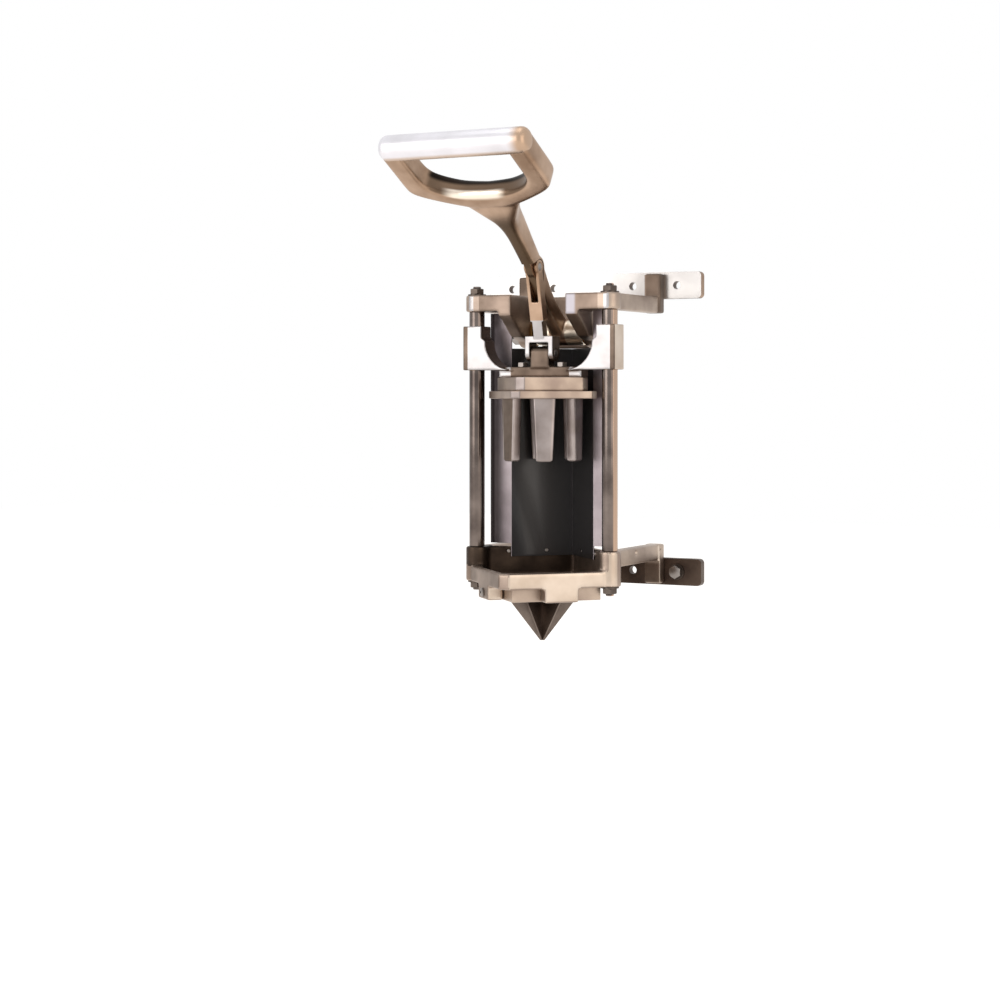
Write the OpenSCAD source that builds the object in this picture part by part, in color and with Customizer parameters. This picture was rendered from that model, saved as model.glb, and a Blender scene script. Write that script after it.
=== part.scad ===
// Wall-mounted potato wedge cutter.
// A lever pulls a crosshead down two guide rods, and six fingers push the potato
// through a set of radial blades. Origin: middle of the wall bolt rectangle, on the
// wall plane. +X is the operator's right, +Y goes into the wall, +Z is up.

/* [Wall rails] */
// Height between the centre lines of the two wall rails
rail_pitch = 321; // [300:0.5:340]
// Length of each rail
rail_len = 266.7; // [250:0.1:300]
// Height of the rail bar
rail_h = 30; // [28:0.5:36]
// Thickness of the rail bar
rail_t = 9.5; // [8:0.1:14]
// Radius of the rail's corners
rail_corner = 5; // [2:0.5:10]
// Distance of the inner mounting holes from the rail's middle
hole_in = 50; // [46:0.5:54]
// Distance of the outer mounting holes from the rail's middle
hole_out = 104; // [101:0.5:112]
// Diameter of the mounting holes
mount_hole_d = 9; // [7:0.1:11]
// Diameter of the lag screws' shanks
lag_d = 7.9; // [6:0.1:8.9]
// Length of lag screw behind the wall plane
lag_bite = 38; // [20:1:60]

/* [Frame castings] */
// Distance from the wall plane to the cutting axis
axis_off = 137; // [130:0.5:150]
// Distance between the two guide rods
rod_span = 162; // [160:0.5:170]
// Diameter of the guide rods
rod_d = 17; // [15:0.1:17.4]
// Radius of the bosses round the rods
boss_r = 12; // [11.5:0.1:13]
// Depth of the beam's top below the upper rail's centre line
beam_drop = 13.5; // [12:0.1:15]
// Height of the upper beam and of the arms
beam_h = 18; // [16:0.5:20]
// How far the beam reaches behind the cutting axis
beam_back = 23.4; // [22:0.1:25]
// Width of the arms that run back to the wall
arm_t = 14; // [11:0.5:16]
// Distance of the arms' middle planes from the centre
arm_x = 80; // [78:0.5:82]
// Width of the lugs that the rails are screwed to
lug_w = 19; // [18:0.5:22]
// Distance of the lugs' middle from the centre
lug_x = 79.5; // [78:0.25:81]
// Height of a lug
lug_h = 26; // [24:0.5:30]
// Thickness of a lug
lug_t = 13; // [12:0.5:18]
// Gap between the two cheeks that carry the lever
cheek_gap = 66; // [64:1:68]
// Thickness of a cheek
cheek_t = 15.5; // [13:0.5:16.5]
// Height of the base casting's rod bosses above its underside
base_h = 38; // [34:0.5:44]
// Height of the base boss tops above the lower rail's centre line
base_rise = 31.2; // [28:0.1:36]
// Height of the base casting's front wall
rim_h = 17; // [14:0.5:22]
// Distance from the cutting axis to the base's front corner
base_diag = 95; // [92:0.5:98]
// Width of the flat on the base's front corner
base_flat = 12; // [8:0.5:16]
// Thickness of the low front wall, measured along the diagonal
front_wall = 13; // [8:0.5:16]
// Thickness of the raised rear wall, measured along the diagonal
rear_wall = 8; // [6:0.5:10]
// Depth of the tabs that hold the blade frame
tab_h = 15; // [13:0.5:18]
// Width of those tabs
tab_w = 37; // [28:1:42]
// Thickness of the ledge over the blade frame
ledge_t = 5; // [4:0.5:7]

/* [Rod fastening] */
// Diameter of the turned-down threads at the rod ends
stud_d = 9.5; // [8:0.1:10]
// Width across flats of the rod nuts
rod_nut_af = 14.3; // [14:0.1:15]
// Height of a rod nut
rod_nut_h = 6; // [5:0.5:8]
// Outer diameter of the washers under the rod nuts
rod_washer_d = 20; // [18:0.5:22]
// Thickness of those washers
rod_washer_t = 1.6; // [1:0.1:2]
// Length of thread that shows past a rod nut
stud_show = 2.4; // [1:0.1:5]

/* [Blades] */
// Thinnest wall of the square blade frame
holder_wall = 3.3; // [3:0.1:4]
// Radius of the round opening in the blade frame
holder_r = 46.2; // [45:0.1:47]
// Number of blade plates that cross on the axis
blade_count = 3; // [3:1:3]
// Thickness of a blade plate
blade_t = 1.6; // [1:0.1:2]
// Length of the blade's ears that rests in the frame
ear_seat = 2; // [1.5:0.1:2.4]
// Height of the blade's ears
blade_ear_h = 5; // [4:0.5:7]
// Height of the blades from the upper edge to the point
blade_h = 61.5; // [52:0.5:66]
// Half width of the blade's blunt point
blade_tip = 2.5; // [1:0.1:4]
// Diameter of the screws that hold the blade frame
holder_screw_d = 5; // [4:0.5:6]

/* [Crosshead] */
// Height of the crosshead's shoulders
cross_h = 48.3; // [46:0.1:50]
// Gap between the shoulders and the beam when the lever is up
cross_gap = 16; // [14:0.5:20]
// Half depth of the crosshead, and half width of its shoulders
cross_r = 11.5; // [11:0.1:12.5]
// Inner half width of the U between the shoulders
cup_half = 65; // [63:0.5:66]
// Radius of the lower corners of the U
cup_r = 32; // [28:1:34]
// Thickness of the crosshead's floor in the middle
floor_t = 11; // [9:0.5:11.5]
// Half width of the floor and of the pad under it
pad_half = 50; // [46:0.5:54]
// Height of the pad under the crosshead
pad_h = 7.7; // [6:0.1:9]
// Outer diameter of the guide bushes
bush_d = 20; // [19.8:0.1:20.6]
// Length of a guide bush
bush_len = 18; // [14:1:20]
// Radial running clearance of bushes on rods and shafts
run_fit = 0.05; // [0.03:0.01:0.1]
// Height of the link pivot above the bottom of the shoulders
pin_rise = 18.2; // [17.5:0.1:19]
// Half width of the lug that the link's fork straddles
cross_lug_half = 11; // [10:0.25:11]
// Radius of that lug's top
cross_lug_r = 7.5; // [7:0.1:8]

/* [Pusher] */
// Half diagonal of the pusher block
block_diag = 58; // [56:0.5:60]
// Height of the pusher block
block_h = 15.2; // [14:0.1:20]
// Half diagonal of the pusher plate
plate_diag = 68.6; // [66:0.1:70]
// Thickness of the pusher plate
plate_t = 8.4; // [7:0.1:10]
// Width of the flats on the corners of the pusher block and plate
corner_flat = 11; // [6:0.5:14]
// Length of the fingers below the plate
finger_len = 67.5; // [55:0.5:70]
// Gap between a finger's outer face and the wall of the blade frame's opening
finger_gap = 1.7; // [1.4:0.1:3]
// Radial thickness of a finger
finger_t = 11; // [10:0.5:12]
// Width of a finger at the plate
finger_w = 24; // [22:0.5:25]
// Width of a finger at its tip
finger_tip_w = 18; // [16:0.5:19]
// Diameter of the pusher bolts' shanks
push_bolt_d = 6; // [5:0.5:8]
// Distance of the pusher bolts from the axis
push_bolt_x = 24; // [23.5:0.25:26]

/* [Lever] */
// Distance from the cutting axis back to the lever pivot
pivot_back = 48; // [46:0.5:50]
// Depth of the lever pivot below the beam
pivot_drop = 22.5; // [20:0.5:25]
// Forward and upward offset of the link pin from the lever pivot
crank_off = 69; // [66:0.5:70]
// Radius of the lever's hub
hub_r = 14; // [13.5:0.1:14]
// Diameter of the pivot shaft
shaft_d = 16; // [15:0.1:16.5]
// Outer diameter of the lever bushes
lever_bush_d = 20; // [19:0.1:21]
// Length of a lever bush
lever_bush_len = 20; // [15:1:25]
// Thickness of the friction washers
friction_t = 2.8; // [2:0.1:3.2]
// Width of the lever's arm
lever_w = 16; // [14:0.5:18]
// Depth of the lever's arm
lever_depth = 21; // [18:0.5:22]
// Radius of the boss round the link pin
pin_boss_r = 12; // [11.5:0.5:13]
// Forward distance from the pivot to the root of the handle loop
neck_fwd = 132; // [126:1:140]
// Rise from the pivot to the root of the handle loop
neck_up = 121; // [116:1:126]
// Tilt of the handle loop above the horizontal
loop_tilt = 29; // [24:0.5:34]
// Distance from the root of the loop to the middle of the grip
loop_len = 126; // [118:1:134]
// Thickness of the loop's side and rear bars
loop_t = 25; // [20:0.5:26]
// Outer half width of the loop
loop_half = 84.5; // [80:0.5:92]
// Width of the loop's side bars
loop_bar = 22; // [18:0.5:24]
// Diameter of the grip
grip_d = 27; // [24:0.5:30]

/* [Link] */
// Thickness of the lever's tongue between the legs of the link's upper fork
tongue_t = 7.4; // [6:0.2:8]
// Radius of the eyes of the link's upper fork
eye_r = 8; // [7:0.25:8.5]
// Diameter of the link pin
pin_d = 8; // [7:0.1:8.5]
// Width of the link's bar over the bridge
link_w = 12; // [10:0.5:13]
// Depth of the link's bar
link_depth = 11; // [10:0.5:12]
// Distance from the link pin to the crotch of the upper fork
link_neck = 38; // [37:1:40]
// Distance from the link pin to where the link narrows
link_step = 59; // [50:1:64]
// Thickness of each fork leg
fork_leg_t = 5.4; // [5:0.1:6]
// Radius of the fork legs' round ends
fork_end_r = 9; // [8.5:0.1:9]
// Height of the fork's bridge
bridge_h = 7; // [6:0.5:9]
// Gap between the fork's bridge and the lug under it
bridge_gap = 3.8; // [3.5:0.1:5]

/* [Guard] */
// Thickness of the guard's sheet
guard_t = 1.5; // [1.2:0.1:1.8]
// Distance, along the diagonal, from the pusher plate to the guard
guard_clear = 4.9; // [3:0.1:6]
// Outer half width of the guard's front flanges
guard_half = 76.5; // [72:0.1:78]
// Half width of the guard where it is screwed to the beam
guard_tab_half = 66.7; // [62:0.1:68]
// Length of guard that laps inside the base's rear wall
guard_lap = 12; // [10:0.5:14]
// Top of the guard's rear panels below the lever pivot
guard_top_drop = 17.5; // [17.5:0.5:22]

/* [Fits] */
// Gap between parts that move past each other
side_gap = 0.3; // [0.2:0.05:0.5]
// Radial clearance of screws and pins in their holes
screw_fit = 0.1; // [0.05:0.05:0.3]
// Gap between the fork and the lug it straddles
fork_gap = 0.4; // [0.3:0.05:0.5]

/* [Hidden] */
$fn = 64;

POLISHED = [0.86, 0.85, 0.84];
CAST = [0.76, 0.68, 0.60];
HANDLE = [0.80, 0.72, 0.64];
STEEL = [0.66, 0.66, 0.68];
BRONZE = [0.72, 0.55, 0.32];
DARK = [0.16, 0.15, 0.16];
BLADE = [0.45, 0.40, 0.36];

rail_z = rail_pitch / 2;
rod_x = rod_span / 2;
beam_top = rail_z - beam_drop;
beam_bot = beam_top - beam_h;
beam_front = boss_r;
cheek_in = cheek_gap / 2;
cheek_out = cheek_in + cheek_t;
base_top = base_rise - rail_z;
base_bot = base_top - base_h;
rim_top = base_bot + rim_h;
tab_bot = base_bot - tab_h;
low_arm_bot = base_top - beam_h;
lug_screw_dz = 7;
lug_screw_d = 6;
lug_screw_bite = 11;
lug_screw_len = rail_t + lug_screw_bite;
lug_head_d = 11.2;
lug_head_h = 3;
lag_washer_d = 18;
lag_washer_t = 1.6;
lag_head_af = 13;
lag_head_h = 5.5;
lag_point = 8;
lag_seat = -rail_t - lag_washer_t;
pivot_boss_r = 17;
cheek_back = 24;
tie_gap = 3;
tie_foot_gap = 0.2;
brow_drop = 4;
chin_y = 18;
chin_rise = 9;
pivot_z = beam_bot - pivot_drop;
cheek_low = pivot_z - hub_r;

cross_top = beam_bot - cross_gap;
cross_bot = cross_top - cross_h;
pad_bot = cross_bot - pad_h;
floor_top = pad_bot + floor_t;
plate_top = pad_bot - block_h;
plate_bot = plate_top - plate_t;
cross_recess = 5;
fork_z = cross_bot + pin_rise;
shoulder_step = 7;
shoulder_x = cup_half + shoulder_step;
shoulder_drop = 11;
rod_room = 1;
push_head_h = 5;
push_head_af = 10;
push_bolt_end = 3;
push_bolt_len = floor_t + block_h - push_bolt_end;

holder_diag = (holder_r + holder_wall) * sqrt(2);
holder_fit = 0.3;
base_hole_diag = holder_diag + holder_fit * sqrt(2);
throat_gap = 0.4;
throat_r = holder_r + throat_gap;
blade_ear_r = holder_r + ear_seat;
blade_gap = 0.6;
blade_wide = holder_r - blade_gap;
holder_screw_gap = 0.8;
holder_screw_in = holder_r + holder_screw_gap;
holder_head_d = 9.5;
holder_head_h = 3;

finger_out = holder_r - finger_gap;
finger_at = finger_out - finger_t / 2;
finger_round = 3;
small_screw_d = 5;
small_head_d = 9;
small_head_h = 3;
head_room = 0.2;
finger_screw_len = 18;
plate_screw_r = 37;
plate_screw_bite = 9;

crank_y = pivot_back - crank_off;
link_dy = -crank_y;
link_dz = pivot_z + crank_off - fork_z;
link_len = sqrt(link_dy * link_dy + link_dz * link_dz);
link_lean = atan(link_dy / link_dz);
hub_half = cheek_in - friction_t - side_gap;
tongue_half = tongue_t / 2;
leg_in = tongue_half + side_gap;
leg_out = lever_w / 2;
slot_gap = 0.6;
slot_depth = eye_r + slot_gap;
fork_in = cross_lug_half + fork_gap;
fork_out = fork_in + fork_leg_t;
bridge_bot = fork_z + cross_lug_r + bridge_gap;
fork_pin_d = 8;
lug_bore_d = 11;
shaft_thread = 14;
shaft_washer_t = 2;
shaft_nut_h = 9;
shaft_nut_af = 22;
shaft_washer_d = 28;
shaft_end = 2;

REAR_RIGHT = 45;
FRONT_LEFT = 225;
guard_front = beam_back;
guard_diag = plate_diag + guard_clear;
rear_diag = guard_diag + guard_t * sqrt(2);
base_rear = rear_diag + rear_wall;
mouth_diag = base_diag - front_wall;
mouth_half = rod_x - boss_r;
guard_low = base_top - guard_lap;
guard_foot_gap = 2.5;
guard_foot = base_top + guard_foot_gap;
guard_top = pivot_z - guard_top_drop;
guard_screw_d = 4;
guard_head_d = 8;
guard_head_h = 2.4;
guard_bite = 9;
guard_tab_gap = 1;
guard_screw_x = (cheek_out + guard_tab_half) / 2;
guard_screw_r = 22;
guard_screw_z = base_top - guard_lap / 2;
beam_screw_z = beam_top - beam_h / 2;

// Arm of the lever: its centre line from the pivot, and half its depth at each point
arm_bow = 4;
loop_step = 20;
arm_mid = [[0, 0], [crank_off / 2 + arm_bow, crank_off / 2 - arm_bow], [crank_off, crank_off],
    [neck_fwd - loop_step, neck_up - loop_step / 2], [neck_fwd, neck_up],
    [neck_fwd + loop_step * cos(loop_tilt), neck_up + loop_step * sin(loop_tilt)]];
arm_half = [hub_r - 1, lever_depth / 2, lever_depth / 2, lever_depth / 2 + 3.5,
    loop_t / 2 + 2, loop_t / 2 - 2];
loop_corner_y = 71;
loop_corner_r = 14;
loop_inner_y = 51;
loop_inner_r = 8;
grip_round = 8;
grip_proud = 1.5;
loop_side = loop_half - grip_proud;

function circle_points(cx, cy, r, a0, a1, n) =
    [for (i = [0:n]) let (a = a0 + (a1 - a0) * i / n) [cx + r * cos(a), cy + r * sin(a)]];
function circle_point(r, a) = [r * cos(a), r * sin(a)];
function mirror_x(pts) = [for (i = [len(pts) - 1:-1:0]) [-pts[i][0], pts[i][1]]];

// Moves to the cutting axis
module at_axis() {
    translate([0, -axis_off, 0]) children();
}

// Repeats on the left and on the right
module both_sides() {
    children();
    mirror([1, 0, 0]) children();
}

// Square prism turned by 45 degrees, given by half its diagonal
module diamond(diag, z0, z1) {
    side = diag * sqrt(2);
    translate([0, 0, z0]) rotate([0, 0, 45])
        translate([-side / 2, -side / 2, 0]) cube([side, side, z1 - z0]);
}

// The same prism with its four corners cut off flat
module cut_diamond(diag, flat, z0, z1) {
    reach = diag - flat / 2;
    intersection() {
        diamond(diag, z0, z1);
        block([-reach, -reach, z0], [reach, reach, z1]);
    }
}

// Block between two corners
module block(p0, p1) {
    translate(p0) cube(p1 - p0);
}

module hexagon(af, h) {
    cylinder(d = af / cos(30), h = h, $fn = 6);
}

// Cylinder along +Y that starts at y0
module along_y(x, y0, z, d, h) {
    translate([x, y0, z]) rotate([-90, 0, 0]) cylinder(d = d, h = h);
}

// Cylinder along +X that starts at x0
module along_x(x0, y, z, d, h) {
    translate([x0, y, z]) rotate([0, 90, 0]) cylinder(d = d, h = h);
}

// Extrudes an outline drawn in Y and Z by w to each side of the middle plane
module side_plate(w) {
    rotate([90, 0, 90]) translate([0, 0, -w]) linear_extrude(2 * w) children();
}

// ---- wall rails -------------------------------------------------------------

module rounded_bar(w, h, t, r) {
    rotate([90, 0, 0]) linear_extrude(t) {
        square([w - 2 * r, h], center = true);
        square([w, h - 2 * r], center = true);
        for (sx = [-1, 1], sz = [-1, 1])
            translate([sx * (w / 2 - r), sz * (h / 2 - r)]) circle(r);
    }
}

module lug_screw_places() {
    for (sx = [-1, 1], sz = [-1, 1])
        translate([sx * lug_x, 0, sz * lug_screw_dz]) children();
}

// Countersunk screw that enters from the wall side, tip towards -Y
module flat_screw(d, len, head_d, head_h, grow) {
    rotate([90, 0, 0]) {
        cylinder(d = d + 2 * grow, h = len);
        cylinder(d1 = head_d + 2 * grow, d2 = d + 2 * grow, h = head_h);
    }
}

module wall_rail(z) {
    translate([0, 0, z]) difference() {
        rounded_bar(rail_len, rail_h, rail_t, rail_corner);
        for (x = [-hole_out, -hole_in, hole_in, hole_out])
            along_y(x, -rail_t - 1, 0, mount_hole_d, rail_t + 2);
        lug_screw_places()
            flat_screw(lug_screw_d, lug_screw_len, lug_head_d, lug_head_h, screw_fit);
    }
}

module upper_wall_rail() {
    color(POLISHED) wall_rail(rail_z);
}

module lower_wall_rail() {
    color(CAST) wall_rail(-rail_z);
}

module rail_screws() {
    color(STEEL) for (sz = [-1, 1]) translate([0, 0, sz * rail_z]) lug_screw_places()
        flat_screw(lug_screw_d, lug_screw_len, lug_head_d, lug_head_h, 0);
}

module lag_places() {
    for (sx = [-1, 1]) translate([sx * hole_out, 0, -rail_z]) children();
}

module lag_washers() {
    color(STEEL) lag_places() difference() {
        along_y(0, lag_seat, 0, lag_washer_d, lag_washer_t);
        along_y(0, lag_seat - 1, 0, mount_hole_d, lag_washer_t + 2);
    }
}

module lag_screws() {
    color(STEEL) lag_places() {
        translate([0, lag_seat, 0]) rotate([90, 0, 0]) hexagon(lag_head_af, lag_head_h);
        along_y(0, lag_seat, 0, lag_d, lag_bite - lag_point - lag_seat);
        translate([0, lag_bite - lag_point, 0]) rotate([-90, 0, 0])
            cylinder(d1 = lag_d, d2 = 1, h = lag_point);
    }
}

// ---- frame castings ---------------------------------------------------------

// Arm from the rods back to the wall, with the lug that the rail is screwed to
module wall_arm(z0, z1, lug_mid) {
    difference() {
        union() {
            block([arm_x - arm_t / 2, -axis_off, z0], [arm_x + arm_t / 2, -rail_t, z1]);
            block([lug_x - lug_w / 2, -rail_t - lug_t, min(z0, lug_mid - lug_h / 2)],
                [lug_x + lug_w / 2, -rail_t, max(z1, lug_mid + lug_h / 2)]);
        }
        for (sz = [-1, 1])
            along_y(lug_x, -lug_screw_len, lug_mid + sz * lug_screw_dz,
                lug_screw_d + 2 * screw_fit, lug_screw_len);
    }
}

// Side outline of a cheek, y measured from the cutting axis
module cheek_outline() {
    polygon([[-beam_front, beam_top], [-beam_front, beam_bot - brow_drop],
        [chin_y, cheek_low + chin_rise],
        [pivot_back, cheek_low], [pivot_back + cheek_back, cheek_low + hub_r],
        [pivot_back + cheek_back, beam_top]]);
    translate([pivot_back, pivot_z]) circle(pivot_boss_r);
}

module head_casting() {
    color(CAST) difference() {
        union() {
            at_axis() both_sides() {
                translate([rod_x, 0, beam_bot]) cylinder(r = boss_r, h = beam_h);
                block([cheek_in, -beam_front, beam_bot], [rod_x, beam_back, beam_top]);
                translate([(cheek_in + cheek_out) / 2, 0, 0])
                    side_plate(cheek_t / 2) cheek_outline();
            }
            both_sides() wall_arm(beam_bot, beam_top, rail_z);
            at_axis() block([-cheek_in - 1, pivot_back + hub_r + tie_gap, guard_top + tie_foot_gap],
                [cheek_in + 1, pivot_back + cheek_back, beam_top]);
        }
        at_axis() both_sides() {
            translate([rod_x, 0, beam_bot - 1])
                cylinder(d = stud_d + 2 * screw_fit, h = beam_h + 2);
            along_x(cheek_in - 1, pivot_back, pivot_z, shaft_d + 2 * screw_fit, cheek_t + 2);
            along_y(guard_screw_x, guard_front - guard_bite - 1, beam_screw_z,
                guard_screw_d + 2 * screw_fit, guard_bite + 2);
        }
    }
}

// The base's outline: a wide corner with a flat in front, a narrower one behind
module base_square(front, rear, half, z0, z1) {
    intersection() {
        diamond(front, z0, z1);
        block([-half, base_flat / 2 - front, z0], [half, 0, z1]);
    }
    intersection() {
        diamond(rear, z0, z1);
        block([-half, -1, z0], [half, rear, z1]);
    }
}

module base_casting() {
    color(CAST) difference() {
        union() {
            at_axis() {
                base_square(base_diag, base_rear, rod_x, base_bot, rim_top);
                intersection() {
                    base_square(base_diag, base_rear, rod_x, base_bot, base_top);
                    block([-rod_x, 0, base_bot], [rod_x, base_rear, base_top]);
                }
                both_sides() translate([rod_x, 0, base_bot]) cylinder(r = boss_r, h = base_h);
                intersection() {
                    base_square(base_diag, base_rear, rod_x, tab_bot, base_bot + 1);
                    for (a = [45, 135]) rotate([0, 0, a])
                        block([-base_diag, -tab_w / 2, tab_bot],
                            [base_diag, tab_w / 2, base_bot + 1]);
                }
            }
            both_sides() wall_arm(low_arm_bot, base_top, -rail_z);
        }
        at_axis() {
            base_square(mouth_diag, rear_diag, mouth_half, base_bot + ledge_t, base_top + 1);
            diamond(base_hole_diag, tab_bot - 1, base_bot);
            translate([0, 0, base_bot - 1]) cylinder(r = throat_r, h = ledge_t + 2);
            both_sides() translate([rod_x, 0, base_bot - 1])
                cylinder(d = stud_d + 2 * screw_fit, h = base_h + 2);
            for (a = [REAR_RIGHT, FRONT_LEFT]) holder_screw_place(a)
                cylinder(d = holder_screw_d + 2 * screw_fit, h = base_diag);
            guard_wall_places() cylinder(d = guard_screw_d + 2 * screw_fit, h = base_diag);
        }
    }
}

module guide_rod(x) {
    at_axis() translate([x, 0, 0]) {
        translate([0, 0, base_top]) cylinder(d = rod_d, h = beam_bot - base_top);
        low = base_bot - rod_washer_t - rod_nut_h - stud_show;
        high = beam_top + rod_washer_t + rod_nut_h + stud_show;
        translate([0, 0, low]) cylinder(d = stud_d, h = high - low);
    }
}

module left_guide_rod() {
    color(STEEL) guide_rod(-rod_x);
}

module right_guide_rod() {
    color(STEEL) guide_rod(rod_x);
}

// Puts a child with its foot at z = 0 on the beam and under the base
module rod_end_places() {
    at_axis() both_sides() translate([rod_x, 0, 0]) {
        translate([0, 0, beam_top]) children();
        translate([0, 0, base_bot]) mirror([0, 0, 1]) children();
    }
}

module rod_washers() {
    color(STEEL) rod_end_places() difference() {
        cylinder(d = rod_washer_d, h = rod_washer_t);
        translate([0, 0, -1]) cylinder(d = stud_d + 2 * screw_fit, h = rod_washer_t + 2);
    }
}

module rod_nuts() {
    color(STEEL) rod_end_places() translate([0, 0, rod_washer_t]) difference() {
        hexagon(rod_nut_af, rod_nut_h);
        translate([0, 0, -1]) cylinder(d = stud_d + 2 * screw_fit, h = rod_nut_h + 2);
    }
}

// ---- guard ------------------------------------------------------------------

// Axes of the lower guard screws: each child starts inside the wall and points outwards
module guard_wall_places() {
    for (a = [45, 135], s = [-1, 1]) rotate([0, 0, a])
        translate([guard_diag / sqrt(2) - 1, s * guard_screw_r, guard_screw_z])
            rotate([0, 90, 0]) children();
}

// Outline of one bent half of the sheet: the panel and its flange
function guard_half_points(flange) = [
    [0, rear_diag],
    [rear_diag - guard_front - guard_t, guard_front + guard_t],
    [flange, guard_front + guard_t],
    [flange, guard_front],
    [guard_diag - guard_front, guard_front],
    [0, guard_diag]];

module guard_sheet(flange, z0, z1) {
    translate([0, 0, z0]) linear_extrude(z1 - z0) {
        polygon(guard_half_points(flange));
        polygon(mirror_x(guard_half_points(flange)));
    }
}

module back_guard() {
    bend = rear_diag - guard_front - guard_t;
    color(DARK) at_axis() difference() {
        union() {
            guard_sheet(bend, guard_low, guard_foot);
            guard_sheet(guard_half, guard_foot, guard_top);
            both_sides() {
                block([guard_diag - guard_front, guard_front, guard_top - 1],
                    [guard_half, guard_front + guard_t, beam_bot - guard_tab_gap]);
                block([guard_diag - guard_front, guard_front, guard_top - 1],
                    [guard_tab_half, guard_front + guard_t, beam_top]);
            }
        }
        guard_wall_places() cylinder(d = guard_screw_d + 2 * screw_fit, h = guard_t + 2);
        both_sides() along_y(guard_screw_x, guard_front - 1, beam_screw_z,
            guard_screw_d + 2 * screw_fit, guard_t + 2);
    }
}

// Screw along +Z from z = 0, with a domed head past len
module pan_screw(d, len, head_d, head_h) {
    rotate_extrude() {
        square([d / 2, len]);
        translate([0, len]) intersection() {
            translate([0, head_h - head_d]) circle(head_d);
            square([head_d / 2, head_h]);
        }
    }
}

module guard_screws() {
    wall = rear_wall / sqrt(2) + guard_t;
    color(STEEL) at_axis() {
        guard_wall_places() translate([0, 0, 1])
            pan_screw(guard_screw_d, wall, guard_head_d, guard_head_h);
        both_sides() translate([guard_screw_x, guard_front + guard_t, beam_screw_z])
            rotate([-90, 0, 0]) translate([0, 0, -guard_bite])
                pan_screw(guard_screw_d, guard_bite, guard_head_d, guard_head_h);
    }
}

// ---- blades -----------------------------------------------------------------

// Axis of a blade frame screw: the child starts in the frame and points outwards
module holder_screw_place(a) {
    rotate([0, 0, a]) translate([holder_screw_in, 0, base_bot - tab_h / 2])
        rotate([0, 90, 0]) children();
}

module blade_angles() {
    for (i = [0:blade_count - 1]) rotate([0, 0, 30 + i * 180 / blade_count]) children();
}

module blade_frame() {
    color(CAST) at_axis() difference() {
        diamond(holder_diag, tab_bot, base_bot);
        translate([0, 0, tab_bot - 1]) cylinder(r = holder_r, h = tab_h + 2);
        blade_angles() block([-blade_ear_r - screw_fit, -blade_t / 2 - screw_fit,
            base_bot - blade_ear_h], [blade_ear_r + screw_fit, blade_t / 2 + screw_fit,
            base_bot + 1]);
        for (a = [REAR_RIGHT, FRONT_LEFT]) holder_screw_place(a)
            cylinder(d = holder_screw_d, h = holder_wall + 1);
    }
}

// One plate: ears on top, then two sloping edges that meet in a point
module blade_outline() {
    polygon([[-blade_ear_r, 0], [blade_ear_r, 0], [blade_ear_r, -blade_ear_h],
        [blade_wide, -blade_ear_h], [blade_tip, -blade_h], [-blade_tip, -blade_h],
        [-blade_wide, -blade_ear_h], [-blade_ear_r, -blade_ear_h]]);
}

module wedge_blades() {
    color(BLADE) at_axis() translate([0, 0, base_bot]) blade_angles()
        rotate([90, 0, 0]) translate([0, 0, -blade_t / 2])
            linear_extrude(blade_t) blade_outline();
}

module blade_frame_screws() {
    color(STEEL) at_axis() {
        holder_screw_place(FRONT_LEFT) pan_screw(holder_screw_d,
            base_diag / sqrt(2) - holder_screw_in, holder_head_d, holder_head_h);
        holder_screw_place(REAR_RIGHT) pan_screw(holder_screw_d,
            base_rear / sqrt(2) - holder_screw_in, holder_head_d, holder_head_h);
    }
}

// ---- lever pivot ------------------------------------------------------------

module at_pivot() {
    translate([0, pivot_back - axis_off, pivot_z]) children();
}

module pivot_shaft() {
    len = cheek_out + shaft_washer_t + shaft_nut_h + shaft_end;
    color(STEEL) at_pivot() {
        along_x(-cheek_out, 0, 0, shaft_d, 2 * cheek_out);
        along_x(-len, 0, 0, shaft_thread, 2 * len);
    }
}

module shaft_washers() {
    color(STEEL) at_pivot() both_sides() difference() {
        along_x(cheek_out, 0, 0, shaft_washer_d, shaft_washer_t);
        along_x(cheek_out - 1, 0, 0, shaft_thread + 2 * screw_fit, shaft_washer_t + 2);
    }
}

module shaft_nuts() {
    color(STEEL) at_pivot() both_sides() difference() {
        translate([cheek_out + shaft_washer_t, 0, 0]) rotate([0, 90, 0])
            hexagon(shaft_nut_af, shaft_nut_h);
        along_x(cheek_out, 0, 0, shaft_thread + 2 * screw_fit, shaft_nut_h + 4);
    }
}

module friction_washers() {
    color(BRONZE) at_pivot() both_sides() difference() {
        along_x(cheek_in - friction_t, 0, 0, 2 * hub_r, friction_t);
        along_x(cheek_in - friction_t - 1, 0, 0, shaft_d + 2 * screw_fit, friction_t + 2);
    }
}

// ---- crosshead --------------------------------------------------------------

// Inner edge of the crosshead from the floor's middle out to the right shoulder
function cup_points() = concat(
    [[0, cross_bot]],
    circle_points(cup_half - cup_r, cross_bot + cup_r, cup_r, -90, 0, 10),
    [[shoulder_x, cross_top - shoulder_drop], [rod_x, cross_top]]);

module crosshead_outline() {
    difference() {
        translate([-rod_x, cross_bot]) square([2 * rod_x, cross_h]);
        polygon(concat(cup_points(), [[rod_x, cross_top + 1], [0, cross_top + 1]]));
        polygon(mirror_x(concat(cup_points(), [[rod_x, cross_top + 1], [0, cross_top + 1]])));
    }
    for (s = [-1, 1]) translate([s * rod_x - cross_r, cross_bot]) square([2 * cross_r, cross_h]);
}

module push_bolt_places() {
    for (sx = [-1, 1]) translate([sx * push_bolt_x, 0, 0]) children();
}

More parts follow.
